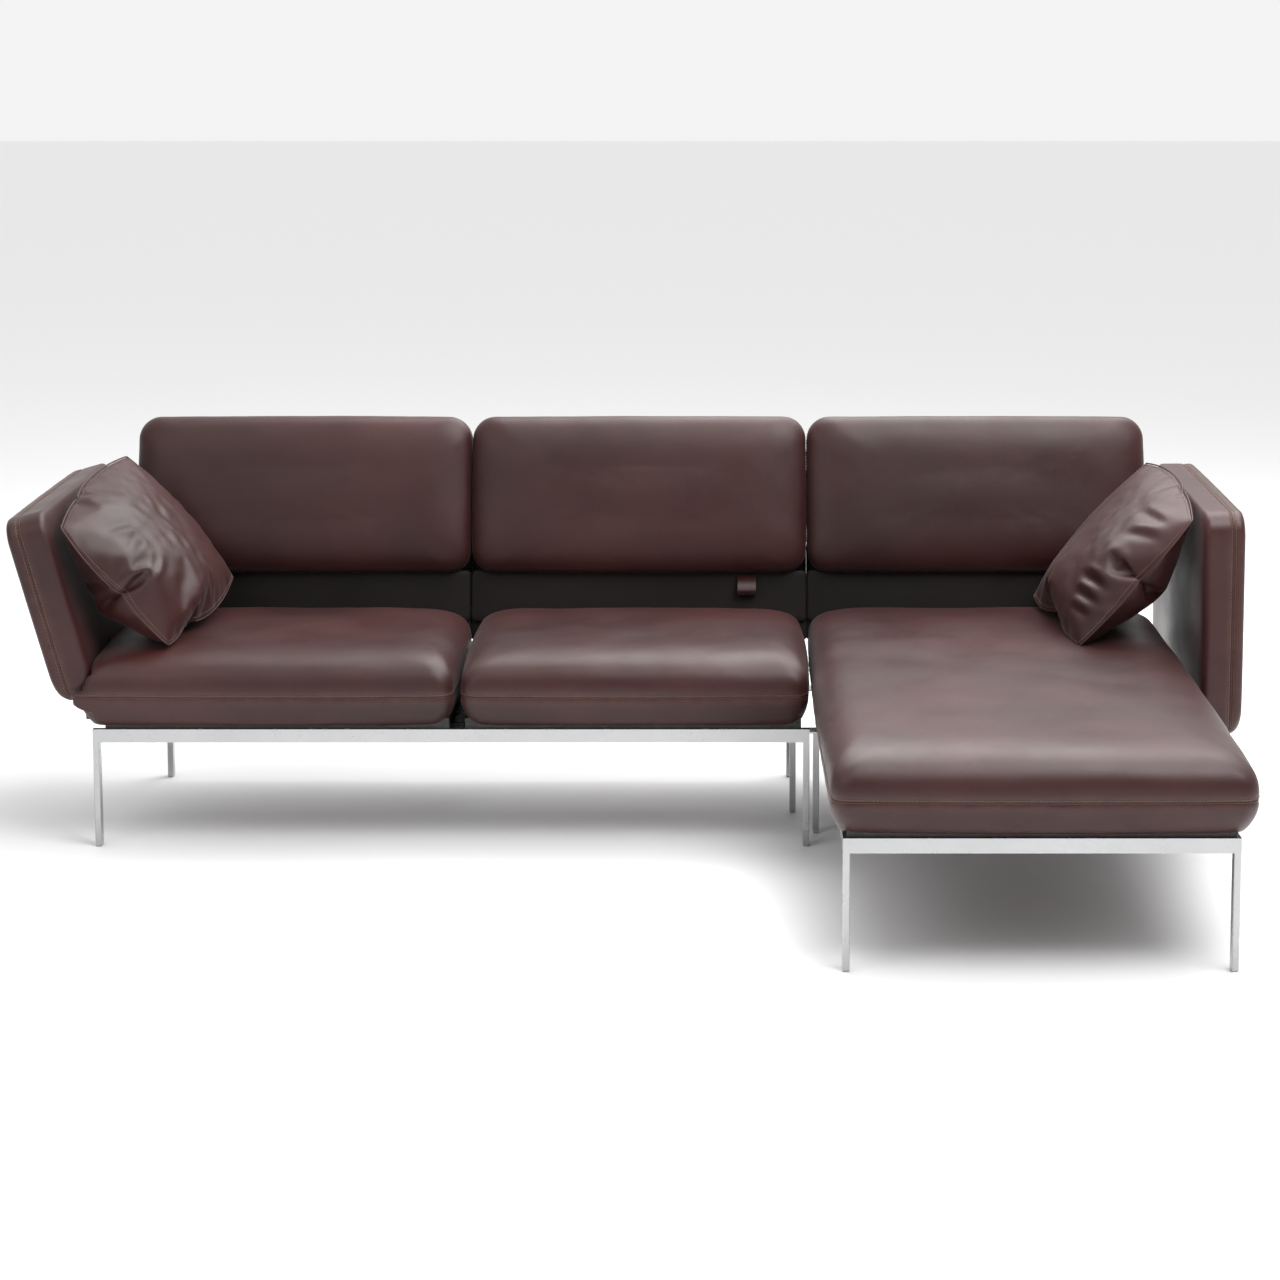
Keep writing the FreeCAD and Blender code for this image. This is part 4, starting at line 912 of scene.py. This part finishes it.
def inflate(points, faces):
    """Where the points of a flat bag come to rest under air pressure."""
    mesh = bpy.data.meshes.new("bag")
    mesh.from_pydata(points.tolist(), [], faces)
    bag = bpy.data.objects.new("bag", mesh)
    bpy.context.scene.collection.objects.link(bag)
    cloth = bag.modifiers.new("cloth", "CLOTH")
    cloth.point_cache.frame_end = PILLOW_FRAMES
    settings = cloth.settings
    settings.quality = 6
    settings.mass = 0.25
    settings.air_damping = 2.0
    settings.tension_stiffness = 25
    settings.compression_stiffness = 25
    settings.shear_stiffness = 12
    settings.bending_stiffness = 3.0
    settings.shrink_min = -0.006
    settings.use_pressure = True
    settings.uniform_pressure_force = 3
    settings.effector_weights.gravity = 0
    cloth.collision_settings.use_collision = False
    for step in range(1, PILLOW_FRAMES + 1):
        bpy.context.scene.frame_set(step)
    graph = bpy.context.evaluated_depsgraph_get()
    blown = bag.evaluated_get(graph).to_mesh()
    places = np.empty(len(points) * 3, np.float32)
    blown.vertices.foreach_get("co", places)
    bpy.data.objects.remove(bag)
    bpy.context.scene.frame_set(1)
    return places.reshape(-1, 3).astype(float)


def fold(points, start, end, width, height):
    """Lift of a pinched fold between two places, with a valley at one side."""
    start, end = np.array(start), np.array(end)
    run = end - start
    length = np.linalg.norm(run)
    way = run / length
    offset = points[:, :2] - start
    along = offset @ way / length
    across = offset @ np.array([-way[1], way[0]]) / width
    taper = np.exp(-(((along - 0.5) / 0.42) ** 4))
    return height * taper * (np.exp(-(across**2)) - 0.9 * np.exp(-((across - 1.7) ** 2)))


def pillow_bag(seed):
    """Flat bag of two panels that share their border, as points and faces."""
    rows, columns = PILLOW_CELLS[0] + 1, PILLOW_CELLS[1] + 1
    across, upwards = np.linspace(-1, 1, rows), np.linspace(-1, 1, columns)
    u, v = (grid.ravel() for grid in np.meshgrid(across, upwards, indexing="ij"))
    swell = np.maximum((1 - u**2) * (1 - v**2), 0) ** 0.5
    cut_x = PILLOW_HALF[0] * u * (1 + PILLOW_BOW * (1 - v**2))
    cut_y = PILLOW_HALF[1] * v * (1 + PILLOW_BOW * (1 - u**2))
    front = np.column_stack([cut_x, cut_y, PILLOW_START * swell])
    front[:, 2] += rumple(front, 30, seed) * 0.004 * swell
    rear = front * np.array([1, 1, -1])
    free = (np.abs(u) <= INSIDE) & (np.abs(v) <= INSIDE)
    rear_index = np.arange(rows * columns)
    rear_index[free] = rows * columns + np.arange(free.sum())
    faces = []
    for i in range(rows - 1):
        for j in range(columns - 1):
            a, b = i * columns + j, (i + 1) * columns + j
            faces.append((a, b, b + 1, a + 1))
            faces.append(tuple(int(rear_index[k]) for k in (a, a + 1, b + 1, b)))
    return np.vstack([front, rear[free]]), faces


def pillow_border():
    """Front panel's border points in order, and the row of points inside them."""
    rows, columns = PILLOW_CELLS[0] + 1, PILLOW_CELLS[1] + 1
    ring = [i * columns for i in range(rows)]
    ring += [(rows - 1) * columns + j for j in range(1, columns)]
    ring += [i * columns + columns - 1 for i in reversed(range(rows - 1))]
    ring += list(reversed(range(1, columns - 1)))
    row = []
    for k in ring:
        i = min(max(k // columns, 1), rows - 2)
        j = min(max(k % columns, 1), columns - 2)
        if not row or row[-1] != i * columns + j:
            row.append(i * columns + j)
    return ring, row


def fill_out(points, seed, folds):
    """Blown bag brought to the pillow's size, with its waves and folds."""
    points = points - (points.max(0) + points.min(0)) / 2
    corner = np.abs(points[0, :2])
    points[:, :2] *= PILLOW_FIT * np.array(PILLOW_HALF) / corner
    for way, depth in zip((1, -1), PILLOW_DEPTHS):
        half = points[:, 2] * way > 0
        points[half, 2] *= depth / np.abs(points[half, 2]).max()
    face = np.sign(points[:, 2]) * np.minimum(1, np.abs(points[:, 2]) / PILLOW_EDGE)
    waves = rumple(points, 11, seed + 4) * 0.0030 + rumple(points, 26, seed + 6) * 0.0012
    points[:, 2] += face * waves
    on_front = face > 0
    for start, end, width, height in folds:
        lift = fold(points, start, end, width, height)
        points[:, 2] += on_front * np.abs(face) * lift
    return points


def pillow(name, along, out, seed, folds):
    """Pillow set in place: its bag, its seam and its stitching."""
    points, faces = pillow_bag(seed)
    points = inflate(points, faces)
    points = fill_out(points, seed, folds)
    x_way = Vector(along).normalized()
    z_way = Vector(out)
    z_way = (z_way - x_way * z_way.dot(x_way)).normalized()
    y_way = z_way.cross(x_way)
    basis = Matrix((x_way, y_way, z_way)).transposed().to_4x4()
    low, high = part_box(name)
    placed = moved(points, Matrix.Translation((low + high) / 2) @ basis)
    ring, row = pillow_border()
    edge_wear = np.zeros(len(points))
    edge_wear[ring] = PILLOW_WEAR
    cushion = mesh_object(
        f"{name}_cushion", placed, faces, materials["leather"], name, wear=edge_wear
    )
    finer = cushion.modifiers.new("finer", "SUBSURF")
    finer.levels = finer.render_levels = 1
    bpy.context.view_layer.objects.active = cushion
    bpy.ops.object.modifier_apply(modifier="finer")
    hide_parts(name)
    welt(f"{name}_seam", placed[ring], PILLOW_WELT, name)
    stitches(f"{name}_stitching", placed[row], name)


# Folds run from one place on the front panel to another, with a width and a height.
LEFT_FOLDS = (
    ((-0.19, 0.02), (-0.12, 0.03), 0.010, 0.006),
    ((-0.20, -0.05), (-0.13, -0.03), 0.009, 0.006),
    ((-0.19, 0.09), (-0.10, 0.06), 0.010, 0.005),
)
RIGHT_FOLDS = (
    ((-0.21, 0.045), (-0.11, 0.060), 0.010, 0.010),
    ((-0.21, 0.085), (-0.12, 0.100), 0.009, 0.011),
    ((-0.20, 0.125), (-0.13, 0.135), 0.008, 0.009),
    ((-0.21, -0.120), (-0.12, -0.070), 0.012, 0.008),
    ((-0.19, -0.150), (-0.08, -0.130), 0.010, 0.006),
)
pillow("pillow_left", (0.144, 0.976, 0.171), (0.737, -0.215, 0.606), 5, LEFT_FOLDS)
pillow("pillow_right", (-0.11, 0.98, 0.1), (-0.72, -0.25, 0.6), 8, RIGHT_FOLDS)


# Pull loop: a folded strap sewn to the second back's sleeve.

LOOP_FRONT = 0.0264
LOOP_RADIUS = 0.012
LOOP_THICK = 0.003
LOOP_LOW, LOOP_TOP = 0.122, 0.158
LOOP_PLACE, LOOP_WIDE = 0.261, 0.045
LOOP_SHARES = (-0.5, -0.47, -0.2, 0.2, 0.47, 0.5)


def loop_outline():
    """The strap's path seen from its side: down, round the eye and up again."""
    centre = LOOP_FRONT + LOOP_RADIUS
    reach = LOOP_RADIUS - LOOP_THICK
    outer = [(LOOP_FRONT, LOOP_TOP)]
    inner = [(LOOP_FRONT + LOOP_THICK, LOOP_TOP)]
    for turn in np.radians(np.linspace(180, 360, 15)):
        c, d = math.cos(turn), math.sin(turn)
        outer.append((centre + LOOP_RADIUS * c, LOOP_LOW + LOOP_RADIUS * d))
        inner.append((centre + reach * c, LOOP_LOW + reach * d))
    outer.append((LOOP_FRONT + 2 * LOOP_THICK + 0.0008, LOOP_TOP))
    inner.append((LOOP_FRONT + LOOP_THICK + 0.0006, LOOP_TOP))
    return np.array([*outer, *reversed(inner)])


def pull_loop():
    """Strap folded into an eye, with its two ends stitched together."""
    matrix = stand("back_middle", -math.pi / 2, "X", -BACK_LEAN)
    outline_points = loop_outline()
    count = len(outline_points)
    rings = []
    for share in LOOP_SHARES:
        level = np.full(count, LOOP_PLACE + share * LOOP_WIDE)
        ring = np.column_stack([outline_points[:, 0], level, outline_points[:, 1]])
        rings.append(moved(ring, matrix))
    points = np.vstack(rings)
    faces = []
    for level in range(len(rings) - 1):
        low, high = level * count, (level + 1) * count
        for i in range(count):
            j = (i + 1) % count
            faces.append((low + i, high + i, high + j, low + j))
    last = (len(rings) - 1) * count
    for i in range(count // 2 - 1):
        k = count - 1 - i
        faces.append((i, i + 1, k - 1, k))
        faces.append((last + i + 1, last + i, last + k, last + k - 1))
    # The strap's darker leather is painted shade for the recess under the back.
    strap = mesh_object(
        "pull_loop_strap",
        points,
        faces,
        materials["loop_leather"],
        "back_middle",
    )
    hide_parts("pull_loop")


pull_loop()


# Floor, light and camera

FLOOR_SIZE = 60
FLOOR_COLOUR = (0.86, 0.86, 0.86, 1)

# The sky of the studio: dark towards the camera's side, white overhead, with a
# pale band at the horizon.
WORLD_SHADES = [(0.32, 0.10), (0.50, 0.24), (0.68, 0.45), (0.85, 1.0), (1.0, 1.3)]
HORIZON_COLOUR = (0.90, 0.90, 0.90, 1)
HORIZON_FROM, HORIZON_TO = 0.08, 0.06

# Soft lamps: place, size in metres and power in watts.
LAMPS = (
    ("key", (1.8, -1.7, 4.0), 2.6, 150),
    ("fill", (-2.6, -3.0, 2.8), 2.6, 35),
    ("top", (0.8, 1.5, 3.4), 3.2, 150),
)
LAMP_AIM = Vector((0, 0.2, 0.4))


def lay_floor():
    """Plain pale floor, not a part of the sofa."""
    bpy.ops.mesh.primitive_plane_add(size=FLOOR_SIZE)
    floor = bpy.context.object
    floor.name = "floor"
    ground, _, shader, _ = new_material("floor_white", roughness=0.6)
    shader.inputs["Base Color"].default_value = FLOOR_COLOUR
    floor.data.materials.append(ground)


def studio_world():
    """Sky whose grey follows the height and the way towards the backs."""
    world = bpy.data.worlds.new("studio")
    bpy.context.scene.world = world
    world.use_nodes = True
    tree = world.node_tree
    place = tree.nodes.new("ShaderNodeTexCoord")
    split = tree.nodes.new("ShaderNodeSeparateXYZ")
    tree.links.new(place.outputs["Generated"], split.inputs[0])
    slope = sum_node(tree, split.outputs["Z"], split.outputs["Y"], 0.35)
    centre = tree.nodes.new("ShaderNodeMapRange")
    centre.inputs["From Min"].default_value = -1
    tree.links.new(slope, centre.inputs["Value"])
    shade = ramp_node(tree, centre.outputs["Result"], WORLD_SHADES)
    band = tree.nodes.new("ShaderNodeMapRange")
    band.inputs["From Min"].default_value = HORIZON_FROM
    band.inputs["From Max"].default_value = HORIZON_TO
    tree.links.new(split.outputs["Z"], band.inputs["Value"])
    shade = mix_node(tree, band.outputs["Result"], shade, HORIZON_COLOUR)
    tree.links.new(shade, tree.nodes["Background"].inputs["Color"])
    tree.nodes["Background"].inputs["Strength"].default_value = 1.0


def hang_lamps():
    """Square soft lamps, all turned to the sofa."""
    for name, place, size, power in LAMPS:
        light = bpy.data.lights.new(name, "AREA")
        light.energy = power
        light.size = size
        lamp = bpy.data.objects.new(name, light)
        lamp.location = place
        way = LAMP_AIM - Vector(place)
        lamp.rotation_euler = way.to_track_quat("-Z", "Y").to_euler()
        bpy.context.scene.collection.objects.link(lamp)


CAMERA_EYE = (0.1884, -6.0317, 1.9045)
CAMERA_PITCH = math.radians(90 - 7)
CAMERA_LENS = 78.76
CAMERA_SHIFT = (-0.0565, -0.2376)


def set_camera():
    """Long lens from the front, above the seats, framed by its shift."""
    lens = bpy.data.cameras.new("camera")
    lens.lens = CAMERA_LENS
    lens.sensor_width = 36
    lens.shift_x, lens.shift_y = CAMERA_SHIFT
    lens.clip_end = 100
    eye = bpy.data.objects.new("camera", lens)
    eye.location = CAMERA_EYE
    eye.rotation_euler = (CAMERA_PITCH, 0, 0)
    bpy.context.scene.collection.objects.link(eye)
    bpy.context.scene.camera = eye


lay_floor()
studio_world()
hang_lamps()
set_camera()
bpy.context.scene.view_settings.view_transform = "Standard"
